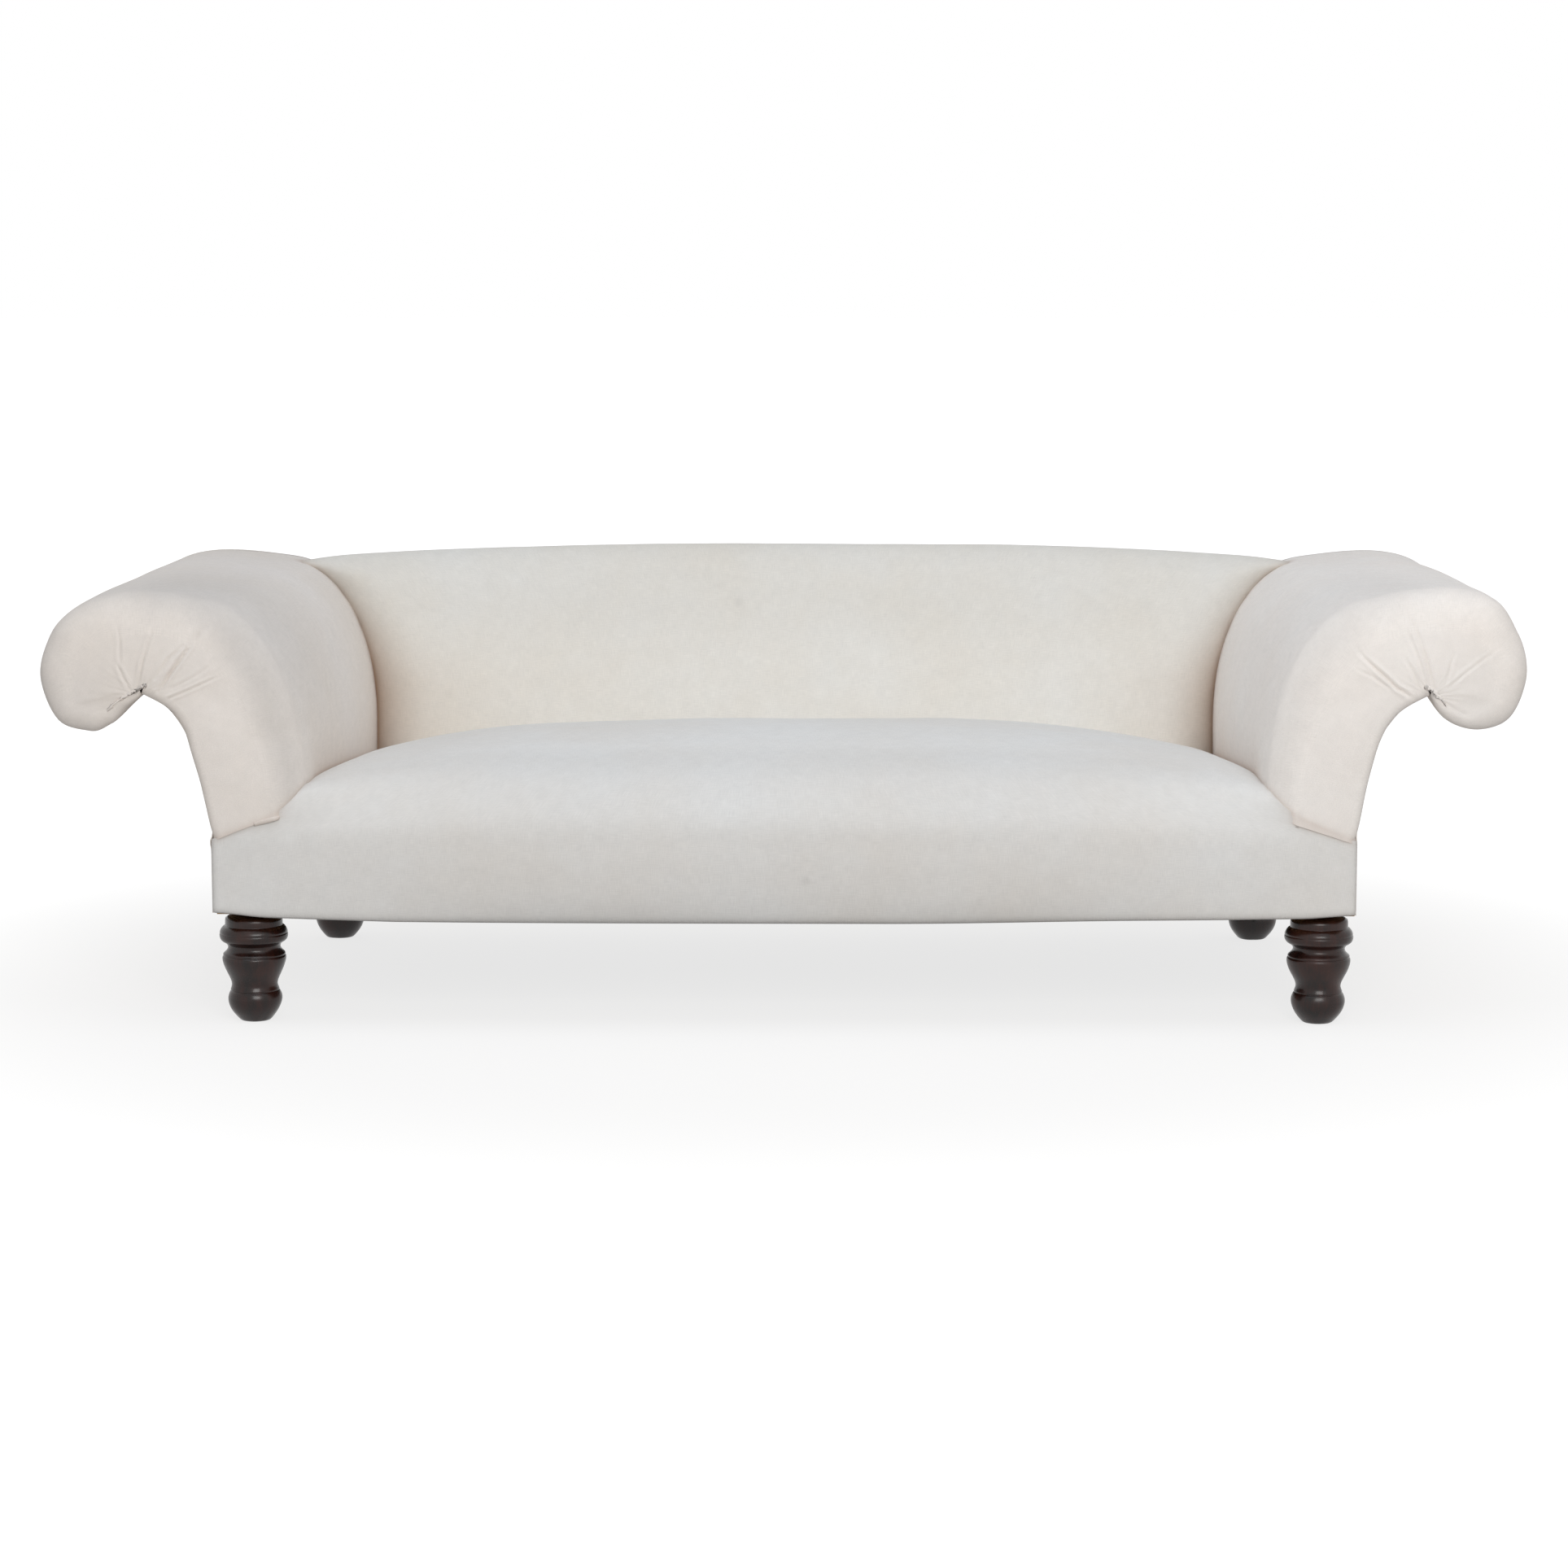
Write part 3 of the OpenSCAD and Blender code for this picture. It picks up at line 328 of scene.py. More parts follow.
def makeJute(name, dark, light, pitch):
    # open weave on the flat of the cloth, read from Object coordinates
    material, tree, shader = newMaterial(name)
    where = addNode(tree, "ShaderNodeTexCoord")
    bands = []
    for direction in ("X", "Y", "Z"):
        wave = addNode(tree, "ShaderNodeTexWave",
                       {"Vector": where.outputs["Object"], "Scale": 0.314 / pitch,
                        "Distortion": 1.5, "Detail": 2.0},
                       wave_type="BANDS", bands_direction=direction)
        bands.append(wave.outputs["Fac"])
    two = addNode(tree, "ShaderNodeMath", {0: bands[0], 1: bands[1]}, operation="MAXIMUM")
    three = addNode(tree, "ShaderNodeMath", {0: two.outputs[0], 1: bands[2]},
                    operation="MULTIPLY_ADD")
    three.inputs[2].default_value = 0.1
    colour = mixColour(tree, three.outputs[0], dark, light)
    tree.links.new(colour, shader.inputs["Base Color"])
    bump = addNode(tree, "ShaderNodeBump", {"Height": three.outputs[0], "Strength": 0.6,
                                            "Distance": 0.0008})
    tree.links.new(bump.outputs[0], shader.inputs["Normal"])
    shader.inputs["Roughness"].default_value = 0.9
    return material


def makeWire(name, base, rust, metallic):
    material, tree, shader = newMaterial(name)
    where = addNode(tree, "ShaderNodeTexCoord")
    cloud = addNode(tree, "ShaderNodeTexNoise", {"Vector": where.outputs["Object"],
                                                "Scale": 70.0, "Detail": 5.0})
    spread = addNode(tree, "ShaderNodeMapRange", {"Value": cloud.outputs["Fac"],
                                                  "From Min": 0.45, "From Max": 0.7})
    colour = mixColour(tree, spread.outputs[0], base, rust)
    tree.links.new(colour, shader.inputs["Base Color"])
    shader.inputs["Metallic"].default_value = metallic
    shader.inputs["Roughness"].default_value = 0.42
    return material


# one calico in four copies, each tinted to the light its piece gets: painted light and shade,
# the right arm's copy lightest and the seat's darkest
seatCalico = makeCalico("seatCalico", linear(229, 228, 226), linear(226, 222, 217))
backCalico = makeCalico("backCalico", linear(236, 233, 227), linear(233, 227, 217))
shadedLeftArmCalico = makeCalico("leftArmCalicoShaded", linear(240, 233, 227), linear(237, 228, 219))
litRightArmCalico = makeCalico("rightArmCalicoLit", linear(249, 244, 239), linear(247, 239, 232))
mahogany = makeMahogany()
timber = makeTimber()
hessian = makeJute("juteHessian", linear(112, 86, 52), linear(184, 152, 104), 0.002)
webbing = makeJute("juteWebbing", linear(104, 80, 50), linear(170, 138, 92), 0.0014)
twine = makeJute("hempTwine", linear(150, 124, 84), linear(205, 182, 136), 0.003)
springWire = makeWire("springWire", linear(122, 104, 90), linear(92, 58, 40), 0.9)
screwSteel = makeWire("screwSteel", linear(150, 150, 152), linear(110, 96, 84), 1.0)
dustCloth = makeJute("dustCloth", linear(38, 36, 33), linear(62, 59, 55), 0.0012)

nodeFinish = {"beech": timber, "mahogany": mahogany, "hessian": hessian,
              "webbing": webbing, "laid_cord": twine, "spring_steel": springWire,
              "screw_steel": screwSteel, "bottom_cloth": dustCloth, "calico": backCalico,
              "stuffing": hessian}
for part in frame["record"]["subparts"]:
    node = frame["nodes"][part["node"]]
    node.data.materials.clear()
    node.data.materials.append(nodeFinish[part["material_slot"]])
print("materials made")

# arm section


armShares = dict(
    under=[(0, 0), (0.01, 0.13), (0.075, 0.34), (0.215, 0.505), (0.41, 0.587)],
    scroll=[(0.41, 0.587), (0.50, 0.498), (0.70, 0.436), (0.90, 0.49), (1.0, 0.655),
            (0.945, 0.825), (0.77, 0.952), (0.50, 1.0), (0.13, 0.986), (-0.26, 0.942),
            (-0.65, 0.80), (-0.89, 0.60), (-1.0, 0.36), (-1.0, 0.034)])


def armPlace(share):
    reach = sofa["scrollOut"] if share[0] > 0 else sofa["armFoot"]
    return Vector((sofa["baseX"] + share[0] * reach,
                   sofa["armLow"] + share[1] * (sofa["armTop"] - sofa["armLow"])))


underLine = measured(smoothThrough([armPlace(s) for s in armShares["under"]]))
scrollLine = measured(smoothThrough([armPlace(s) for s in armShares["scroll"]]))
nookAt = underLine(1)

# how the arm's surface leaves that section
arm = dict(columns=326, deep=44, roll=16, face=84, fold=6,
           backEnd=0.4442, edgeFold=0.016, proud=0.002,
           puff=0.010, dimple=0.002, flare=(1.0, 0.8), taperDepth=0.24,
           swell=0.016, swellDepth=0.62, flushX=0.764, flushRun=0.018, wall=0.0035,
           insideStep=0.02)

# front edge: share along the scroll, inset of the roll, depth of the roll, and how far the
# whole section draws in at the front
armEdge = [(0.0, 0.012, 0.014, 0.0), (0.06, 0.022, 0.028, 0.0),
           (0.14, 0.044, 0.044, 0.002), (0.22, 0.056, 0.050, 0.003),
           (0.30, 0.062, 0.054, 0.005), (0.44, 0.062, 0.054, 0.007),
           (0.50, 0.060, 0.052, 0.007), (0.57, 0.066, 0.048, 0.014),
           (0.63, 0.072, 0.046, 0.022), (0.68, 0.073, 0.045, 0.0245),
           (0.76, 0.068, 0.045, 0.024), (0.83, 0.058, 0.044, 0.022),
           (0.89, 0.048, 0.042, 0.016), (0.95, 0.038, 0.036, 0.012),
           (1.0, 0.026, 0.030, 0.008)]
# where the bright front gives way to the painted shade on the top and inside, by share along
# the scroll: distance in from the section on the left arm and on the right, painted shade
# behind it on each
armRidge = [(0.0, -0.06, -0.06, 0.0, 0.0), (0.30, -0.02, -0.04, 0.20, 0.10),
            (0.40, 0.006, -0.01, 0.25, 0.20), (0.50, 0.020, 0.012, 0.26, 0.20),
            (0.573, 0.036, 0.030, 0.25, 0.17), (0.677, 0.048, 0.044, 0.22, 0.08),
            (0.76, 0.045, 0.037, 0.16, 0.03), (0.824, 0.042, 0.032, 0.10, 0.0),
            (0.884, 0.034, 0.026, 0.06, 0.0), (0.945, 0.026, 0.018, 0.03, 0.0),
            (1.0, 0.018, 0.010, 0.0, 0.0)]


# painted shade on the arm: greyer past the ridge on the top and inside, fading towards the
# back, and low on the right arm's front
def shadeAt(share, inset, depth, side, p):
    for low, high in zip(armRidge, armRidge[1:]):
        if share <= high[0]:
            break
    t, i = (share - low[0]) / (high[0] - low[0]), 1 if side < 0 else 2
    ridge = low[i] + (high[i] - low[i]) * t
    behind = low[i + 2] + (high[i + 2] - low[i + 2]) * t
    ridge += 0.010 * noise.noise(Vector((p.x * 14, p.y * 14, side)))
    soft = 0.030 if side < 0 else 0.040
    beyond = ease((ridge + soft - inset) / (2 * soft))
    face = (0.23 if side < 0 else 0.18) * (1 - ease((share - 0.95) / 0.05))
    far = 1 - 0.6 * ease((depth - 0.10) / 0.5)
    shade = beyond * (face + (behind * far - face) * ease(depth / 0.045))
    if side > 0:
        shade += (1 - beyond) * 0.04 * ease((0.56 - p.y) / 0.10)
    return shade


# how far each scroll stands out from that section: share along it, at the front, at
# mid depth, at the rear, where the back board stands close under the cloth
leftTrim = [(0.0, 0.0, -0.010, 0.0), (0.035, -0.009, -0.018, 0.0), (0.07, -0.002, -0.020, 0.0),
            (0.11, 0.004, -0.018, 0.0), (0.16, 0.011, -0.010, 0.0), (0.22, 0.011, 0.0, 0.0),
            (0.29, 0.008, 0.001, 0.0), (0.37, 0.001, -0.002, -0.001),
            (0.45, 0.0, -0.002, -0.001), (1.0, 0.0, 0.0, 0.0)]
rightTrim = [(0.0, 0.0, -0.010, 0.0), (0.05, 0.002, -0.016, 0.0), (0.10, -0.002, -0.018, 0.0),
             (0.15, 0.0, -0.010, 0.0), (0.22, -0.001, -0.002, 0.0),
             (0.30, 0.001, -0.001, -0.001), (0.36, 0.009, 0.005, -0.001),
             (0.41, 0.008, 0.001, -0.001), (0.47, 0.005, -0.004, -0.001),
             (0.60, 0.0, -0.003, -0.001), (1.0, 0.0, 0.0, 0.0)]


def trimAt(rows, share, depth):
    near, middle, rear = rowAt(rows, share)
    trim = near + (middle - near) * ease(depth / 0.30)
    return trim + (rear - trim) * ease((depth - 0.45) / 0.35)


def armAt(share, depth, side=0):
    # the arm's surface at a share of the scroll and a depth behind its front
    p, inward = scrollLine(share), leftOf(scrollLine, clamp(share, 0.004, 0.996))
    if share < 0.03:
        inward = inward.lerp(Vector((0.06, 1)), 1 - share / 0.03).normalized()
    if side:
        p = p - inward * trimAt(leftTrim if side < 0 else rightTrim, share, depth)
    near = clamp(1 - depth / arm["taperDepth"])
    flare = arm["flare"][side > 0] if side else 1
    p = p + inward * rowAt(armEdge, share)[2] * flare * near * near
    p.x -= arm["swell"] * ease(depth / arm["swellDepth"]) * max(inward.x, 0) ** 1.5 \
        * (0.35 + 0.65 * ease((depth - 0.05) / 0.3))
    return p, inward


# the arm's inside face as rows of (height, x) going back, for what stands beside it
insideRows = []
for k in range(47):
    row = []
    for i in range(110, 221):
        p = armAt(i / 220, k * arm["insideStep"])[0]
        if not row or p.y < row[-1][0] - 1e-5:
            row.append((p.y, p.x))
    insideRows.append(row)


def armInsideX(depth, z):
    # where the arm's inside face stands at that depth and height
    def onRow(row):
        for (za, xa), (zb, xb) in zip(row, row[1:]):
            if z >= zb:
                return xa + (xb - xa) * clamp((za - z) / (za - zb))
        return row[-1][1]
    far = clamp(depth / arm["insideStep"], 0, len(insideRows) - 1.001)
    a, b = onRow(insideRows[int(far)]), onRow(insideRows[int(far) + 1])
    return a + (b - a) * (far - int(far))


# seam between the arm's front and the border, as (x, z), on the left and on the right
leftSeam = [(0.700, 0.3200), (0.746, 0.3250), (0.764, 0.3270), (0.777, 0.3245),
            (0.802, 0.3175), (0.840, 0.3030), (0.880, 0.2860)]
rightSeam = [(0.700, 0.3150), (0.746, 0.3200), (0.764, 0.3220), (0.769, 0.3205),
             (0.783, 0.3150), (0.823, 0.3020), (0.880, 0.2830)]


def seamZ(side, x):
    line = leftSeam if side < 0 else rightSeam
    for (xa, za), (xb, zb) in zip(line, line[1:]):
        if x <= xb:
            return za + (zb - za) * clamp((x - xa) / (xb - xa))
    return line[-1][1]


# creases drawn to the nook under each scroll: points as (outwards, up) from the nook,
# half width and depth
leftPleats = [
    ([(0.004, 0.010), (-0.004, 0.047), (-0.013, 0.079), (-0.024, 0.105), (-0.038, 0.130)],
     0.0024, 0.0032),
    ([(-0.028, 0.004), (-0.046, 0.032), (-0.069, 0.063), (-0.089, 0.091), (-0.112, 0.116)],
     0.0028, 0.0060),
    ([(-0.024, 0.024), (-0.044, 0.054), (-0.069, 0.075), (-0.084, 0.087)], 0.0024, 0.0028),
    ([(-0.024, -0.014), (-0.075, 0.007), (-0.130, 0.032)], 0.0020, 0.0028),
    ([(-0.050, 0.010), (-0.085, 0.028), (-0.120, 0.052)], 0.0024, 0.0012),
    ([(0.030, 0.045), (0.030, 0.080), (0.034, 0.118)], 0.0026, 0.0014),
    ([(0.016, 0.008), (0.026, 0.028), (0.036, 0.050)], 0.0024, 0.0020),
    ([(-0.010, 0.004), (-0.020, 0.036), (-0.040, 0.080)], 0.0040, 0.0012)]
rightPleats = [
    ([(0.004, 0.012), (-0.008, 0.055), (-0.022, 0.094), (-0.034, 0.119), (-0.047, 0.137)],
     0.0026, 0.0044),
    ([(-0.012, 0.030), (-0.022, 0.063), (-0.036, 0.094), (-0.054, 0.122)], 0.0024, 0.0026),
    ([(-0.015, 0.003), (-0.029, 0.040), (-0.044, 0.062)], 0.0026, 0.0020),
    ([(-0.020, -0.007), (-0.051, 0.012), (-0.073, 0.032), (-0.091, 0.048), (-0.123, 0.078)],
     0.0026, 0.0050),
    ([(-0.060, 0.010), (-0.090, 0.030), (-0.120, 0.044)], 0.0024, 0.0014),
    ([(0.020, 0.012), (0.027, 0.040), (0.036, 0.070)], 0.0026, 0.0012),
    ([(0.026, 0.012), (0.050, 0.034), (0.085, 0.060), (0.120, 0.088)], 0.0024, 0.0016),
    ([(0.018, -0.012), (0.040, -0.024), (0.066, -0.033)], 0.0030, 0.0014)]


def pleatDepth(pleats, q):
    # how far the creases press in at q, a point seen from the nook
    total = 0.0
    for line, width, depth in pleats:
        far, share = 1.0, 0.0
        for i, (start, end) in enumerate(zip(line, line[1:])):
            start, way = Vector(start), Vector(end) - Vector(start)
            t = clamp((q - start).dot(way) / way.length_squared)
            off = (q - start - way * t).length
            if off < far:
                far, share = off, (i + t) / (len(line) - 1)
        if far < 6 * width:
            fade = ease((1 - share) / 0.35) * (0.3 + 0.7 * ease(share / 0.25))
            total += depth * fade * (exp(-sqrt(far * far + 2.5e-7) / (0.55 * width))
                                     - 0.4 * exp(-((far - 2.0 * width) / (1.2 * width)) ** 2))
    return total


# how far the line under each scroll stands outwards of the section, by height
footRows = [(0.17, 0.0045, 0.0), (0.272, 0.0045, 0.0), (0.286, 0.0065, 0.0),
            (0.300, 0.0020, -0.001), (0.340, 0.0, -0.004), (0.410, 0.0015, -0.003),
            (0.448, 0.0045, -0.002), (0.475, 0.003, 0.0), (0.51, 0.0, 0.0)]


def footShift(side, z):
    return rowAt(footRows, z)[0 if side < 0 else 1]


def makeArm(name, side, pleats, replace):
    rows = [(stage, k / arm[stage]) for stage in ("deep", "roll", "face", "fold")
            for k in range(arm[stage])] + [("fold", 1.0)]
    front = sofa["frontY"] - arm["proud"]

    def target(a):
        # where the cloth drawn from share a of the scroll ends, beside the nook or below it
        low = clamp((a - 0.74) / 0.26)
        down = 1 - (0.035 * a + 0.965 * low ** 1.35)
        at, out = underLine(down), leftOf(underLine, clamp(down, 0.01, 0.97))
        return at + out * arm["edgeFold"], out

    shades = []

    def place(a, b):
        stage, t = rows[min(int(round(b * (len(rows) - 1))), len(rows) - 1)]
        inset, deep = rowAt(armEdge, a)[:2]
        angle = 0 if stage == "deep" else pi / 2 * (t if stage == "roll" else 1)
        y = front + deep * (1 - sin(angle))
        if stage == "deep":
            y = arm["backEnd"] + t * (front + deep - arm["backEnd"])
        p, inward = armAt(a, y - front, side)
        section = p
        end, out = target(a)
        end = end + Vector((footShift(side, end.y), 0))
        reach = (end - p).length
        inset = min(inset, 0.6 * reach)
        p = p + inward * inset * (1 - max(cos(angle), 0) ** 0.72)
        if stage == "face":
            p = p.lerp(end, t)
        elif stage == "fold":
            p = end - out * arm["edgeFold"] * sin(pi / 2 * t)
            y += arm["edgeFold"] * (1 - cos(pi / 2 * t))
        # the padding stands fullest half way to the nook
        far = (end - p).length
        rise = clamp(1.1 * (1 - far / max(reach, 1e-6)))
        dome = clamp(reach / 0.12) * (1 - cos(pi * rise)) / 2
        shades.append(shadeAt(a, (p - section).length, y - front, side, p))
        # the foot follows the seam at the front, and its edge is turned in
        pull = ease((a - 0.84) / 0.16)
        if stage != "deep":
            flush = pull * ease((p.x - arm["flushX"]) / arm["flushRun"])
            y += arm["puff"] * (clamp(reach / 0.12) * sin(angle) - dome) * (1 - flush)
        show = clamp(1 - (y - front) / 0.06)
        if pull > 0:
            p = Vector((p.x, p.y + (seamZ(side, p.x) - p.y) * pull * ease(show)))
        free = ease((p.y - seamZ(side, p.x) - 0.004) / 0.03)
        q = p - nookAt
        near = q.length
        if y < front + 0.03:
            show = clamp(1 - (y - front) / 0.03)
            y += show * (pleatDepth(pleats, q) + arm["dimple"] * exp(-(near / 0.020) ** 2))
            ring = Vector((q.x, q.y, 0)).normalized() if near > 1e-6 else Vector((0, 1, 0))
            y -= show * 0.0012 * exp(-near / 0.05) * noise.noise(ring * 7.0)
            y -= 0.0022 * show * free * noise.noise(Vector((p.x * 9 + side * 5, p.y * 9, 2)))
            y += 0.0045 * (1 - sin(pi / 2 * clamp((1 - a) / 0.009))) * show
        # long soft unevenness of the stuffing
        soft = noise.noise(Vector((p.x * 4.5 + side * 3, y * 4.5, p.y * 4.5)))
        p = p - inward * 0.0022 * soft * ease(near / 0.08) * ease((p.y - 0.33) / 0.05)
        return Vector((side * p.x, y, p.y))

    bm = clothGrid(arm["columns"], len(rows) - 1, place, cut=(scrollLine.length, 1.15))
    cloth = shadedLeftArmCalico if side < 0 else litRightArmCalico
    piece = finish(bm, name, cloth, (0, 0, 0), arm["wall"], replace)
    addLayer(piece, "shade", shades)
    return piece


def faceOut(piece, point, way):
    # turns the piece's faces round if the one nearest the point doesn't look that way
    mesh = piece.data
    near = min(mesh.polygons, key=lambda f: (f.center - Vector(point)).length_squared)
    if near.normal.dot(Vector(way)) < 0:
        mesh.flip_normals()


leftArm = makeArm("left_arm_calico", -1, leftPleats,
                  ("left_arm_cover", "left_arm_stuffing"))
rightArm = makeArm("right_arm_calico", 1, rightPleats,
                   ("right_arm_cover", "right_arm_stuffing"))
for side, piece in ((-1, leftArm), (1, rightArm)):
    faceOut(piece, (side * 1.0, -0.43, 0.6), (0, -1, 0))
print("arms made")

# seat


seat = dict(columns=280, rows=170, bulge=0.022, sideBulge=1.6, crownPower=3.4,
            cornerRound=0.010, tuck=0.034, fold=0.026, valley=0.007, wall=0.004)
# each row is one place along the seat's line, from the hem to the back: depth and height
# at the middle, half width (None where an arm bounds it), depth and height at the side,
# and how much of the front's bulge it has
seatTable = [
    (0.0070, 0.1612, sofa["baseX"], 0.0050, 0.1675, 0.0),
    (0.0, 0.1715, sofa["baseX"], 0.0, 0.1765, 0.30),
    (0.0, 0.2147, sofa["baseX"], 0.0, 0.2070, 0.74),
    (0.0, 0.2705, sofa["baseX"], 0.0, 0.2480, 1.00),
    (0.0, 0.3240, sofa["baseX"], 0.0000, 0.2900, 0.72),
    (0.0240, 0.3718, 0.788, 0.0015, 0.3260, 0.0),
    (0.0747, 0.3980, None, 0.0200, 0.3610, 0.0),
    (0.1550, 0.4160, None, 0.0800, 0.3730, 0.0),
    (0.2906, 0.4280, None, 0.1900, 0.3760, 0.0),
    (0.4429, 0.4254, None, 0.3500, 0.3690, 0.0),
    (0.5882, 0.4110, None, 0.5300, 0.3545, 0.0),
    (0.6920, 0.3914, None, 0.6920, 0.3379, 0.0),
    (0.7100, 0.3570, None, 0.7100, 0.3120, 0.0)]


def evenly(line):
    # a smooth line with a second one carried along: share of the first one's length to both
    run = [0.0]
    for a, b in zip(line, line[1:]):
        run.append(run[-1] + hypot(b[0].x - a[0].x, b[0].y - a[0].y))

    def at(share):
        far = clamp(share) * run[-1]
        i = min(max(bisect_right(run, far) - 1, 0), len(run) - 2)
        t = (far - run[i]) / (run[i + 1] - run[i])
        return [p.lerp(q, t) for p, q in zip(line[i], line[i + 1])]
    return at, run[-1]


def hemLift(x):
    # the hem rises to the corners, where the top of the leg shows
    if x > 0:
        return 0.0045 * ease((x - 0.15) / 0.4) + 0.0040 * ease((x - 0.79) / 0.085)
    return 0.0035 * clamp((-x - 0.60) / 0.2) + 0.0060 * ease((-x - 0.79) / 0.085)


def makeSeat():
    middle, edge = [], []
    for d, z, half, sideD, sideZ, bulge in seatTable:
        if half is None:
            half = armInsideX(sideD, sideZ) + 0.005
        middle.append((d, z, bulge))
        edge.append((half, sideD, sideZ))
    lineAt, length = evenly(list(zip(smoothThrough(middle, 16), smoothThrough(edge, 16))))
    fold, shades = seat["fold"], []

    def place(a, b):
        u = 2 * a - 1
        sign, u = (1 if u >= 0 else -1), abs(u)
        turn = clamp((u - (1 - fold)) / fold)
        u = min(u / (1 - fold), 1)
        u = sin(pi / 2 * u) * 0.35 + u * 0.65
        mid, side = lineAt(b)
        side.x = min(side.x, sofa["baseX"])
        corner = ease((side.x - 0.80) / 0.06)
        bend = seat["cornerRound"] * corner
        share = 1 - u ** seat["crownPower"]
        x = (side.x - bend) * u + bend * sin(pi / 2 * turn)
        y = (sofa["frontY"] + side.y + (mid.x - side.y) * share
             - seat["bulge"] * mid.z * share ** seat["sideBulge"]
             + bend * (1 - cos(pi / 2 * turn)))
        z = side.z + (mid.y - side.z) * share
        # beside the arm the seat falls into a valley, then tucks down
        inner = ease((side.y - 0.02) / 0.06)
        close = clamp((x - (side.x - 0.055)) / 0.055) * inner
        z -= seat["valley"] * close * close + seat["tuck"] * turn * inner
        y += seat["tuck"] * turn * (1 - inner) * (1 - corner)
        x += 0.012 * turn * inner
        x *= sign
        if sign < 0 and corner:
            x -= 0.0045 * corner * ease((-x - 0.60) / 0.27)
        low = clamp((0.215 - z) / 0.05)
        z += low * hemLift(x)
        # unevenness of the stuffing, none where the arm's foot lies on the border
        p = Vector((x, y, z))
        soft = noise.noise(p * 3.6) * 0.0030 + noise.noise(p * 11.0) * 0.0008
        soft *= ease(b / 0.05) * (1 - turn) * (1 - ease((abs(x) - 0.70) / 0.05) * (z < 0.36))
        up = ease((z - 0.31) / 0.07)
        # painted shade on the seat's front, darkest near the hem and fading towards the arms
        shades.append((0.070 - 0.035 * ease((0.325 - z) / 0.05)
                       + 0.07 * ease((0.23 - z) / 0.06))
                      * ease((sofa["frontY"] + 0.18 - y) / 0.09)
                      * (1 - 0.9 * ease((abs(x) - 0.30) / 0.45)))
        return Vector((x, y - soft * (1 - up) * 0.8, z + soft * up))

    bm = clothGrid(seat["columns"], seat["rows"], place, cut=(1.75, length))
    piece = finish(bm, "seat_calico", seatCalico, (0, -0.3, 1), seat["wall"],
                   ("seat_cover", "seat_stuffing"))
    addLayer(piece, "shade", shades)
    return piece


seatPiece = makeSeat()
faceOut(seatPiece, (0, -0.1, 0.42), (0, 0, 1))
print("seat made")

# inside back


back = dict(columns=240, rows=130, room=0.1762, full=0.006, endRound=0.100,
            endDepth=0.052, rise=0.386, wall=0.004)
# share of the roll's depth and share of the height, from the seat up and over the top
backTable = [(0, 0), (0.01, 0.21), (0.045, 0.42), (0.115, 0.63), (0.215, 0.80),
             (0.37, 0.93), (0.62, 1), (0.86, 0.965), (0.98, 0.895), (1, 0.83), (1, 0.76)]


def backTopAt(x):
    return sofa["backTop"] - sofa["backDrop"] * clamp(abs(x) / sofa["baseX"]) ** 3


def makeBack():
    sized, shades = [(a * back["room"], b * back["rise"]) for a, b in backTable], []
    lineAt, length = evenly(list(zip(smoothThrough(sized, 16), smoothThrough(backTable, 16))))

    def place(a, b):
        u = 2 * a - 1
        s = lineAt(b)[1]
        depth = sofa["seatDepth"] + s.x * back["room"]
        half = 0.80
        for _ in range(6):
            z = sofa["backFootZ"] + s.y * (backTopAt(half) - sofa["backFootZ"])
            half = 0.5 * half + 0.5 * min(armInsideX(depth, min(z, 0.668)) + 0.010, 0.862)
        x = u * half
        y = sofa["frontY"] + depth
        z = sofa["backFootZ"] + s.y * (backTopAt(x) - sofa["backFootZ"])
        # the ends round away into the crease beside the arms
        close = clamp((abs(x) - (half - back["endRound"])) / back["endRound"])
        face = 1 - ease((s.x - 0.25) / 0.35)
        y += back["endDepth"] * close ** 2.2 * face
        z -= 0.005 * close ** 2 * (1 - face)
        p = Vector((x, y, z))
        soft = (noise.noise(p * 3.2 + Vector((7, 0, 0))) * 0.0032
                + noise.noise(p * 10.0) * 0.0008)
        full = back["full"] * sin(pi * clamp(s.y / 0.9)) * (1 - abs(u) ** 4)
        y -= (soft + full) * face
        z += soft * 0.5 * ease((s.x - 0.2) / 0.3) * (1 - ease((s.x - 0.9) / 0.1))
        # painted shade, darker towards the top of the back
        shades.append(0.09 * ease((z - 0.46) / 0.16))
        return Vector((x, y, z))

    bm = clothGrid(back["columns"], back["rows"], place, cut=(1.62, length))
    piece = finish(bm, "inside_back_calico", backCalico, (0, -1, 0), back["wall"],
                   ("inside_back_cover", "back_stuffing"))
    addLayer(piece, "shade", shades)
    return piece


backPiece = makeBack()
faceOut(backPiece, (0, 0.27, 0.5), (0, -1, 0))
print("back made")


def paintCreaseShade(piece, rules):
    # painted shade in the creases: the nearer another cover, the darker and warmer the cloth
    mesh = piece.data
    dark = [0.0] * len(mesh.vertices)
    for other, terms in rules:
        tree = BVHTree.FromPolygons([v.co for v in other.data.vertices],
                                    [tuple(f.vertices) for f in other.data.polygons])
        for v in mesh.vertices:
            far = tree.find_nearest(v.co)[3]
            dark[v.index] += sum(w * exp(-far / scale) for w, scale in terms(v.co))
    addLayer(piece, "crease", dark)


def besideBack(p):
    return [(0.50, 0.004)]


def besideSeat(p):
    return [(0.35, 0.004), (0.28 * ease((p.y - sofa["frontY"] - 0.06) / 0.10), 0.030)]


def thinLine(p):
    return [(0.30, 0.003)]


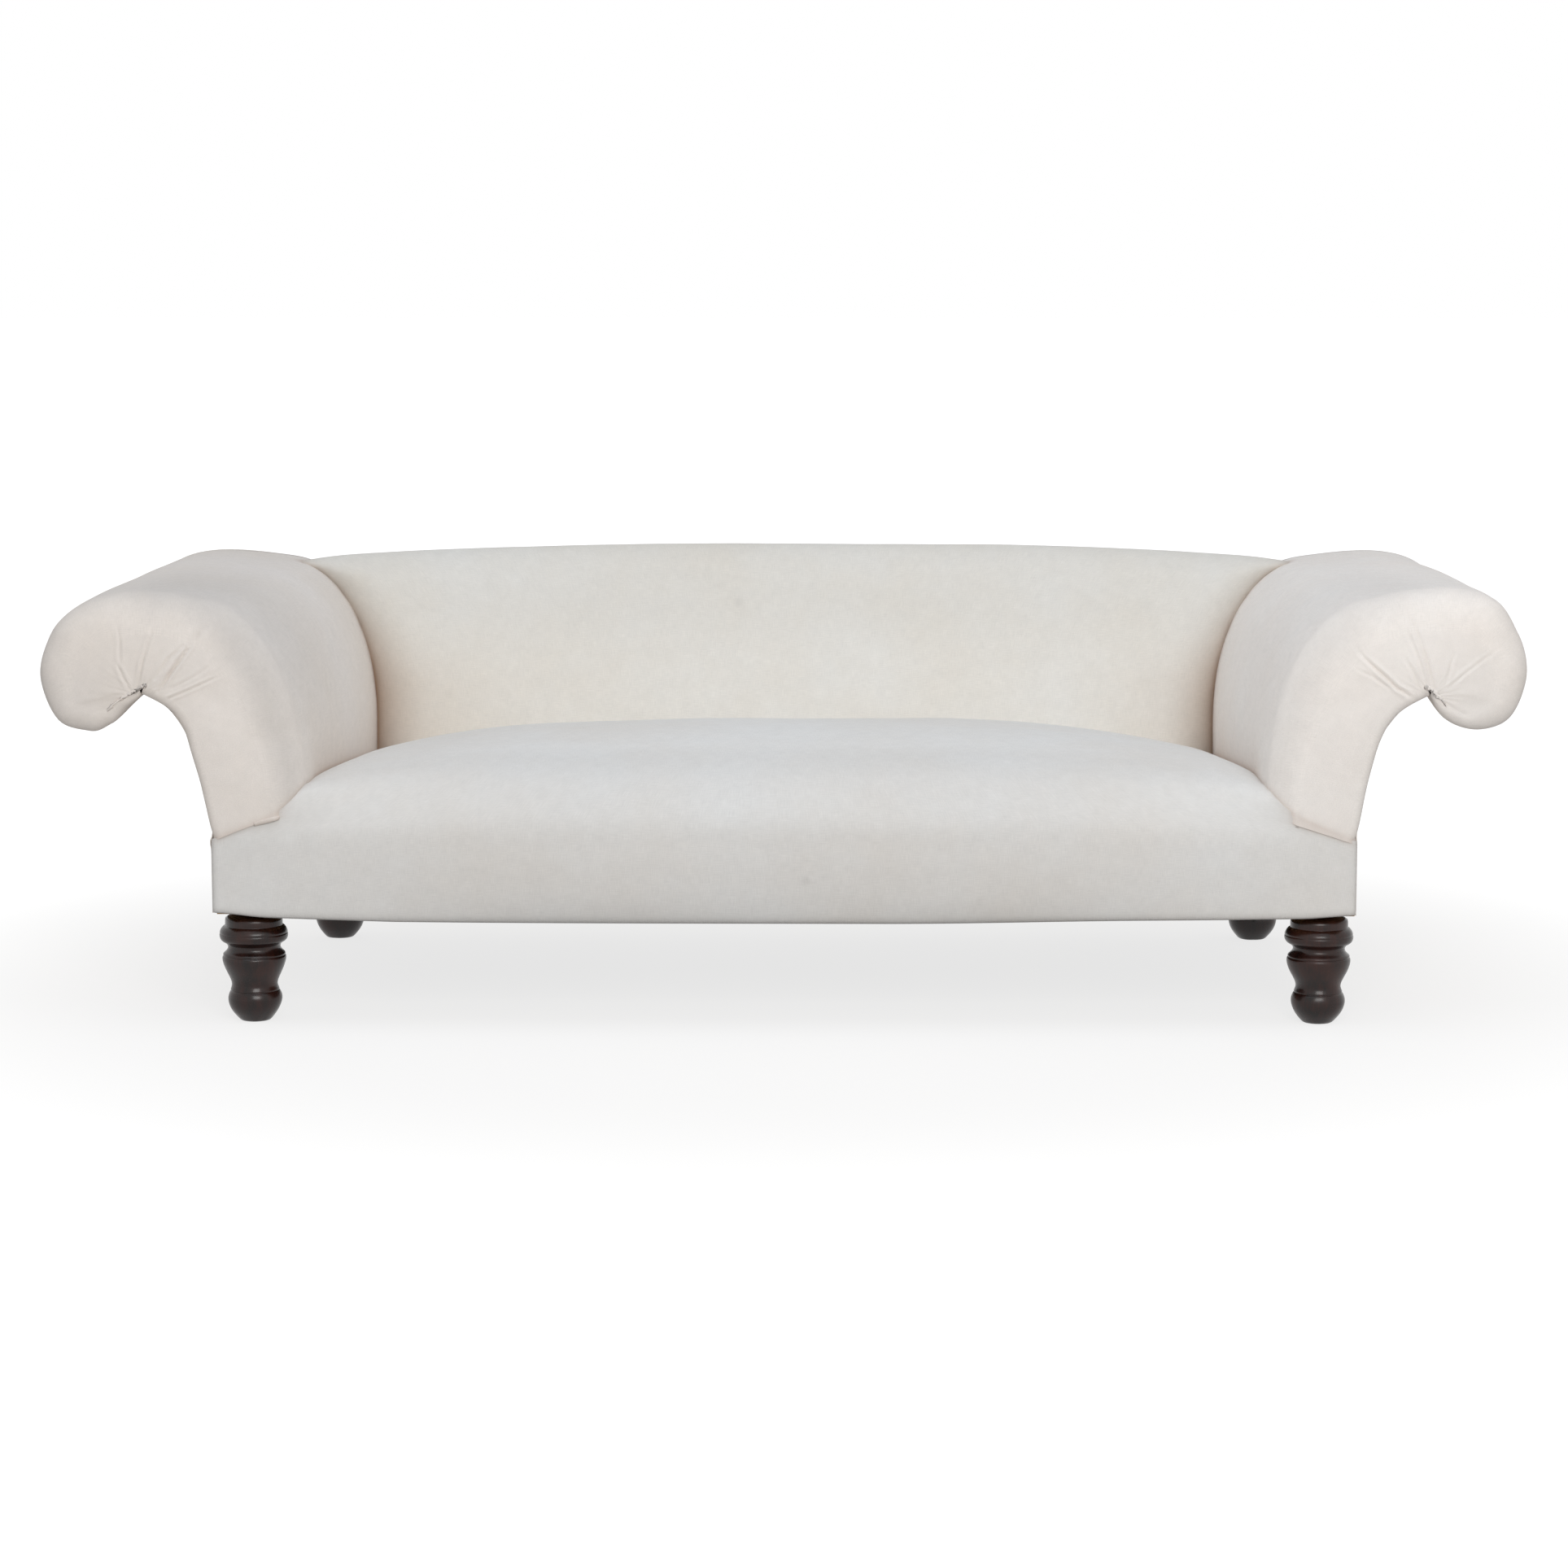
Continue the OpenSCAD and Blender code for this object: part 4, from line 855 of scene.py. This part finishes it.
def behindArm(p):
    # painted shadow of the arm on the back: narrow under the top of the back, wide and dark
    # down by the seat
    low = ease((0.640 - p.z) / 0.20)
    return [(0.14 + (0.54 if p.x < 0 else 0.44) * low, 0.010 + 0.048 * low), (0.26, 0.006)]


for piece in (leftArm, rightArm):
    paintCreaseShade(piece, [(backPiece, besideBack), (seatPiece, besideSeat)])
paintCreaseShade(seatPiece, [(leftArm, thinLine), (rightArm, thinLine)])
paintCreaseShade(backPiece, [(leftArm, behindArm), (rightArm, behindArm)])
print("creases shaded")

# outside covers


outside = dict(rows=56, columns=60, startY=0.0105, nookBack=0.014, lift=0.0006,
               wall=0.0014, backY=0.4446, underTop=0.060, backHeight=0.515)


def makeOutsideArm(name, side, replace):
    line = measured([Vector((sofa["baseX"], sofa["hemZ"]))]
                    + [underLine(k / 60) for k in range(59)])
    length = sofa["backY"] - 0.002 - (sofa["frontY"] + outside["startY"])

    def place(a, b):
        p, out = line(b), -leftOf(line, clamp(b, 0.01, 0.99))
        late = outside["nookBack"] * ease((b - 0.8) / 0.2) * (1 - a)
        y = sofa["frontY"] + outside["startY"] + late + a * length
        inner = ease(a / 0.05) * ease((1 - a) / 0.05) * ease(b / 0.08) * ease((1 - b) / 0.08)
        slack = inner * 0.0026 * noise.noise(Vector((y * 3, p.y * 5, side * 4.0)))
        p = p + out * (outside["lift"] * (1 - inner) - 0.0012 * inner + slack)
        p.x += footShift(side, p.y) * ease(1 - a / 0.5)
        p.y += hemLift(side * p.x) * ease(1 - b / 0.06) * ease(1 - a / 0.15)
        return Vector((side * p.x, y, p.y))

    bm = clothGrid(outside["columns"], outside["rows"], place, cut=(length, line.length))
    cloth = shadedLeftArmCalico if side < 0 else litRightArmCalico
    piece = finish(bm, name, cloth, (side, 0, 0), outside["wall"], replace)
    faceOut(piece, (side * 0.875, 0, 0.25), (side, 0, 0))


makeOutsideArm("left_outside_arm_calico", -1, ("left_outside_arm_cover",))
makeOutsideArm("right_outside_arm_calico", 1, ("right_outside_arm_cover",))


def makeOutsideBack():
    # cut to the outline of the arms' ends and the back's top, then divided so that its inside
    # can lie slightly uneven
    bm = bmesh.new()
    for side in (-1, 1):
        rim = [Vector((sofa["baseX"], sofa["hemZ"]))]
        rim += [underLine(k / 24) for k in range(24)]
        for k in range(201):
            p = armAt(k / 200, arm["backEnd"] - sofa["frontY"], side)[0]
            if p.x < sofa["baseX"] and p.y < backTopAt(p.x) - outside["underTop"]:
                break
            rim.append(p)
        end = rim[-1].x
        rim += [Vector((x, backTopAt(x) - outside["underTop"]))
                for x in [end * (1 - k / 30) for k in range(1, 31)]]
        half = [bm.verts.new((side * p.x, outside["backY"], p.y)) for p in rim]
        bm.faces.new(half + [bm.verts.new((0, outside["backY"], sofa["hemZ"]))])
    bmesh.ops.triangulate(bm, faces=bm.faces[:], quad_method="BEAUTY", ngon_method="BEAUTY")
    step = 0.03
    for k in [k for k in range(-39, 40) if k]:
        bmesh.ops.bisect_plane(bm, geom=bm.verts[:] + bm.edges[:] + bm.faces[:],
                               plane_co=(k * step, 0, 0), plane_no=(1, 0, 0), dist=1e-5)
    for k in range(0, 18):
        bmesh.ops.bisect_plane(bm, geom=bm.verts[:] + bm.edges[:] + bm.faces[:],
                               plane_co=(0, 0, 0.18 + k * step), plane_no=(0, 0, 1),
                               dist=1e-5)
    bmesh.ops.remove_doubles(bm, verts=bm.verts[:], dist=1e-5)
    bmesh.ops.recalc_face_normals(bm, faces=bm.faces[:])
    weave = bm.loops.layers.uv.new("weave")
    for face in bm.faces:
        for loop in face.loops:
            loop[weave].uv = (loop.vert.co.x, loop.vert.co.z)
    area = sum(f.calc_area() for f in bm.faces)
    for v in bm.verts:
        if not v.is_boundary:
            inner = ease((0.62 - v.co.z) / 0.06) * ease((v.co.z - 0.18) / 0.05)
            v.co.y += 0.0014 * noise.noise(v.co * 4.0) * inner
    piece = finish(bm, "outside_back_calico", backCalico, (0, 1, 0), outside["wall"],
                   ("outside_back_cover",))
    faceOut(piece, (0, outside["backY"], 0.4), (0, 1, 0))


makeOutsideBack()


def makeDustCloth():
    # black cloth under the frame, cut away at its corners round the legs
    low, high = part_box("bottom_cloth")
    notch = dict(width=0.116, depth=0.124)
    height, sag = 0.1676, 0.004
    bm = bmesh.new()
    bmesh.ops.create_grid(bm, x_segments=90, y_segments=44, size=0.5)
    for v in bm.verts:
        v.co = Vector((low.x + (v.co.x + 0.5) * (high.x - low.x),
                       low.y + (v.co.y + 0.5) * (high.y - low.y), height))
    gone = []
    for face in bm.faces:
        c = face.calc_center_median()
        if abs(c.x) > high.x - notch["width"] and not (
                low.y + notch["depth"] < c.y < high.y - notch["depth"]):
            gone.append(face)
    bmesh.ops.delete(bm, geom=gone, context="FACES")
    weave = bm.loops.layers.uv.new("weave")
    for face in bm.faces:
        for loop in face.loops:
            loop[weave].uv = (loop.vert.co.x, loop.vert.co.y)
    area = sum(f.calc_area() for f in bm.faces)
    for v in bm.verts:
        if not v.is_boundary:
            edge = min(high.x - abs(v.co.x), v.co.y - low.y, high.y - v.co.y)
            v.co.z -= sag * ease(edge / 0.25) * (1 + noise.noise(v.co * 5.0))
    piece = finish(bm, "bottom_dust_cloth", dustCloth, (0, 0, -1), 0.0008,
                   ("bottom_cloth",))
    faceOut(piece, (0, 0, 0.167), (0, 0, -1))


makeDustCloth()
print("outside covers made")

# legs


leg = dict(height=0.166, spigot=0.0128, spigotTop=0.220, sides=72, wear=0.0009,
           chip=0.0016)
# radius and height up the turning, in millimetres; a repeated point keeps an edge crisp
turning = [(0, 0), (21, 0), (23.5, 0.8), (29, 7), (35.5, 15), (39.8, 24), (42, 33),
           (41.2, 40), (39.0, 45), (38.0, 46.6), (36.8, 47.0), (36.8, 48.2), (37.6, 48.6),
           (36.8, 50.5), (35.2, 55), (34.8, 58), (36.0, 64), (40, 72), (45, 82),
           (48.2, 91), (49.5, 98.5), (48.8, 101.2), (47.4, 102.2), (47.0, 102.8),
           (48.0, 103.6), (48.2, 105.2), (46.6, 107), (43.4, 109.6), (40.8, 113),
           (40, 116.4), (41.2, 120), (44.4, 122.8), (45.6, 123.4), (46.4, 123.8),
           (49.8, 125.8), (52.2, 129.2), (53, 133.4), (52.9, 136.4), (51.9, 137.2),
           (51.9, 137.9), (52.7, 138.6), (51.6, 142.4), (49.6, 145.8), (46.8, 148.6),
           (44.8, 149.4), (44.3, 149.6), (44.5, 151), (44.5, 157), (44.5, 166)]
legFeet = {"front_left_leg": (-0.824, -0.364), "front_right_leg": (0.824, -0.364),
           "back_left_leg": (-0.795, 0.386), "back_right_leg": (0.795, 0.386)}


def makeLeg(name, x, y, seed):
    bm = bmesh.new()
    line = [bm.verts.new((r / 1000, 0, z / 1000)) for r, z in turning]
    line += [bm.verts.new((leg["spigot"], 0, leg["height"])),
             bm.verts.new((leg["spigot"], 0, leg["spigotTop"])),
             bm.verts.new((0, 0, leg["spigotTop"]))]
    edges = [bm.edges.new(pair) for pair in zip(line, line[1:])]
    bmesh.ops.spin(bm, geom=line + edges, cent=(0, 0, 0), axis=(0, 0, 1), angle=2 * pi,
                   steps=leg["sides"], use_merge=True)
    bmesh.ops.remove_doubles(bm, verts=bm.verts[:], dist=1e-6)
    bmesh.ops.recalc_face_normals(bm, faces=bm.faces[:])
    for v in bm.verts:
        # hand turning isn't quite round, and the foot is knocked about
        p = v.co
        wear = leg["wear"] * noise.noise(Vector((p.x * 22, p.y * 22, p.z * 40 + seed * 9)))
        chip = (leg["chip"] * clamp(noise.noise(Vector((p.x * 60, p.y * 60, seed * 5.0))))
                * ease((0.02 - p.z) / 0.02))
        r = hypot(p.x, p.y)
        if r > 0.002 and p.z < 0.1655:
            k = 1 + (wear - chip) / r
            p.x, p.y = p.x * k, p.y * k
        p.x, p.y = p.x + x, p.y + y
    return finish(bm, name + "_turned", mahogany, (0, 0, 0), 0, (name,))


for number, (name, (x, y)) in enumerate(legFeet.items()):
    piece = makeLeg(name, x, y, number)
    faceOut(piece, (x, y - 0.053, 0.1334), (0, -1, 0))
    bevelled = piece.modifiers.new("soft edges", "SUBSURF")
    bevelled.levels = bevelled.render_levels = 1
print("legs made")

# stage, light, camera


studio = dict(world=0.44, floorWhite=0.66, floorEdge=(0.9, 2.4), key=108.0, top=27.0,
              floorTone=(0.60, 0.58, 0.56, 1), floorGlow=1.17)


def seenWhite(tree):
    # 1 for what the camera, a reflection or glass sees, 0 for the light that falls on things
    path = addNode(tree, "ShaderNodeLightPath")
    seen = path.outputs["Is Camera Ray"]
    for ray in ("Is Glossy Ray", "Is Transmission Ray"):
        seen = addNode(tree, "ShaderNodeMath", {0: seen, 1: path.outputs[ray]},
                       operation="MAXIMUM").outputs[0]
    return seen


def makeStage():
    bm = bmesh.new()
    bmesh.ops.create_grid(bm, x_segments=2, y_segments=2, size=1)
    for v in bm.verts:
        v.co = Vector((v.co.x * 60, v.co.y * 60 + 20, 0))
    mesh = bpy.data.meshes.new("floor")
    bm.to_mesh(mesh)
    bm.free()
    floor = bpy.data.objects.new("floor", mesh)
    bpy.context.scene.collection.objects.link(floor)
    material, tree, shader = newMaterial("paleFloor")
    shader.inputs["Base Color"].default_value = studio["floorTone"]
    shader.inputs["Roughness"].default_value = 1.0
    shader.inputs["Specular IOR Level"].default_value = 0.0
    white = addNode(tree, "ShaderNodeEmission", {"Strength": studio["floorGlow"]})
    where = addNode(tree, "ShaderNodeTexCoord")
    far = addNode(tree, "ShaderNodeVectorMath", {0: where.outputs["Object"]},
                  operation="LENGTH")
    spread = addNode(tree, "ShaderNodeMapRange",
                     {"Value": far.outputs["Value"], "From Min": studio["floorEdge"][0],
                      "From Max": studio["floorEdge"][1], "To Min": studio["floorWhite"],
                      "To Max": 1.0}, interpolation_type="SMOOTHSTEP")
    share = addNode(tree, "ShaderNodeMath", {0: seenWhite(tree), 1: spread.outputs[0]},
                    operation="MULTIPLY")
    mix = addNode(tree, "ShaderNodeMixShader", {0: share.outputs[0], 1: shader.outputs[0],
                                                2: white.outputs[0]})
    tree.links.new(mix.outputs[0], tree.nodes["Material Output"].inputs["Surface"])
    mesh.materials.append(material)

    world = bpy.data.worlds.new("studioWorld")
    bpy.context.scene.world = world
    world.use_nodes = True
    tree = world.node_tree
    light = tree.nodes["Background"]
    light.inputs["Color"].default_value = (1, 1, 1, 1)
    strength = addNode(tree, "ShaderNodeMapRange",
                       {"Value": seenWhite(tree), "To Min": studio["world"], "To Max": 1.0})
    tree.links.new(strength.outputs[0], light.inputs["Strength"])


def addLamp(name, place, aim, size, power, tint):
    data = bpy.data.lights.new(name, "AREA")
    data.shape, data.size, data.size_y, data.energy = "RECTANGLE", size[0], size[1], power
    data.color = tint
    lamp = bpy.data.objects.new(name, data)
    lamp.location = place
    lamp.rotation_euler = (Vector(aim) - Vector(place)).to_track_quat("-Z", "Y").to_euler()
    bpy.context.scene.collection.objects.link(lamp)


makeStage()
addLamp("frontSoftbox", (0.7, -4.8, 2.5), (0, 0, 0.35), (2.6, 1.8), studio["key"],
        (1, 1, 0.99))
addLamp("overheadSoftbox", (0, -0.8, 3.2), (0, 0, 0.3), (4.0, 2.0), studio["top"],
        (0.84, 0.95, 1.10))

view = dict(place=(0.137, -6.25, 1.16), down=7.64, left=0.675, lens=88.6, shift=-0.0289)
cameraData = bpy.data.cameras.new("camera")
cameraData.lens, cameraData.sensor_width = view["lens"], 36
cameraData.shift_x = view["shift"]
camera = bpy.data.objects.new("camera", cameraData)
camera.location = view["place"]
camera.rotation_euler = (radians(90 - view["down"]), 0, radians(view["left"]))
bpy.context.scene.collection.objects.link(camera)
bpy.context.scene.camera = camera
bpy.context.scene.view_settings.view_transform = "Standard"
print("stage, light and camera made")
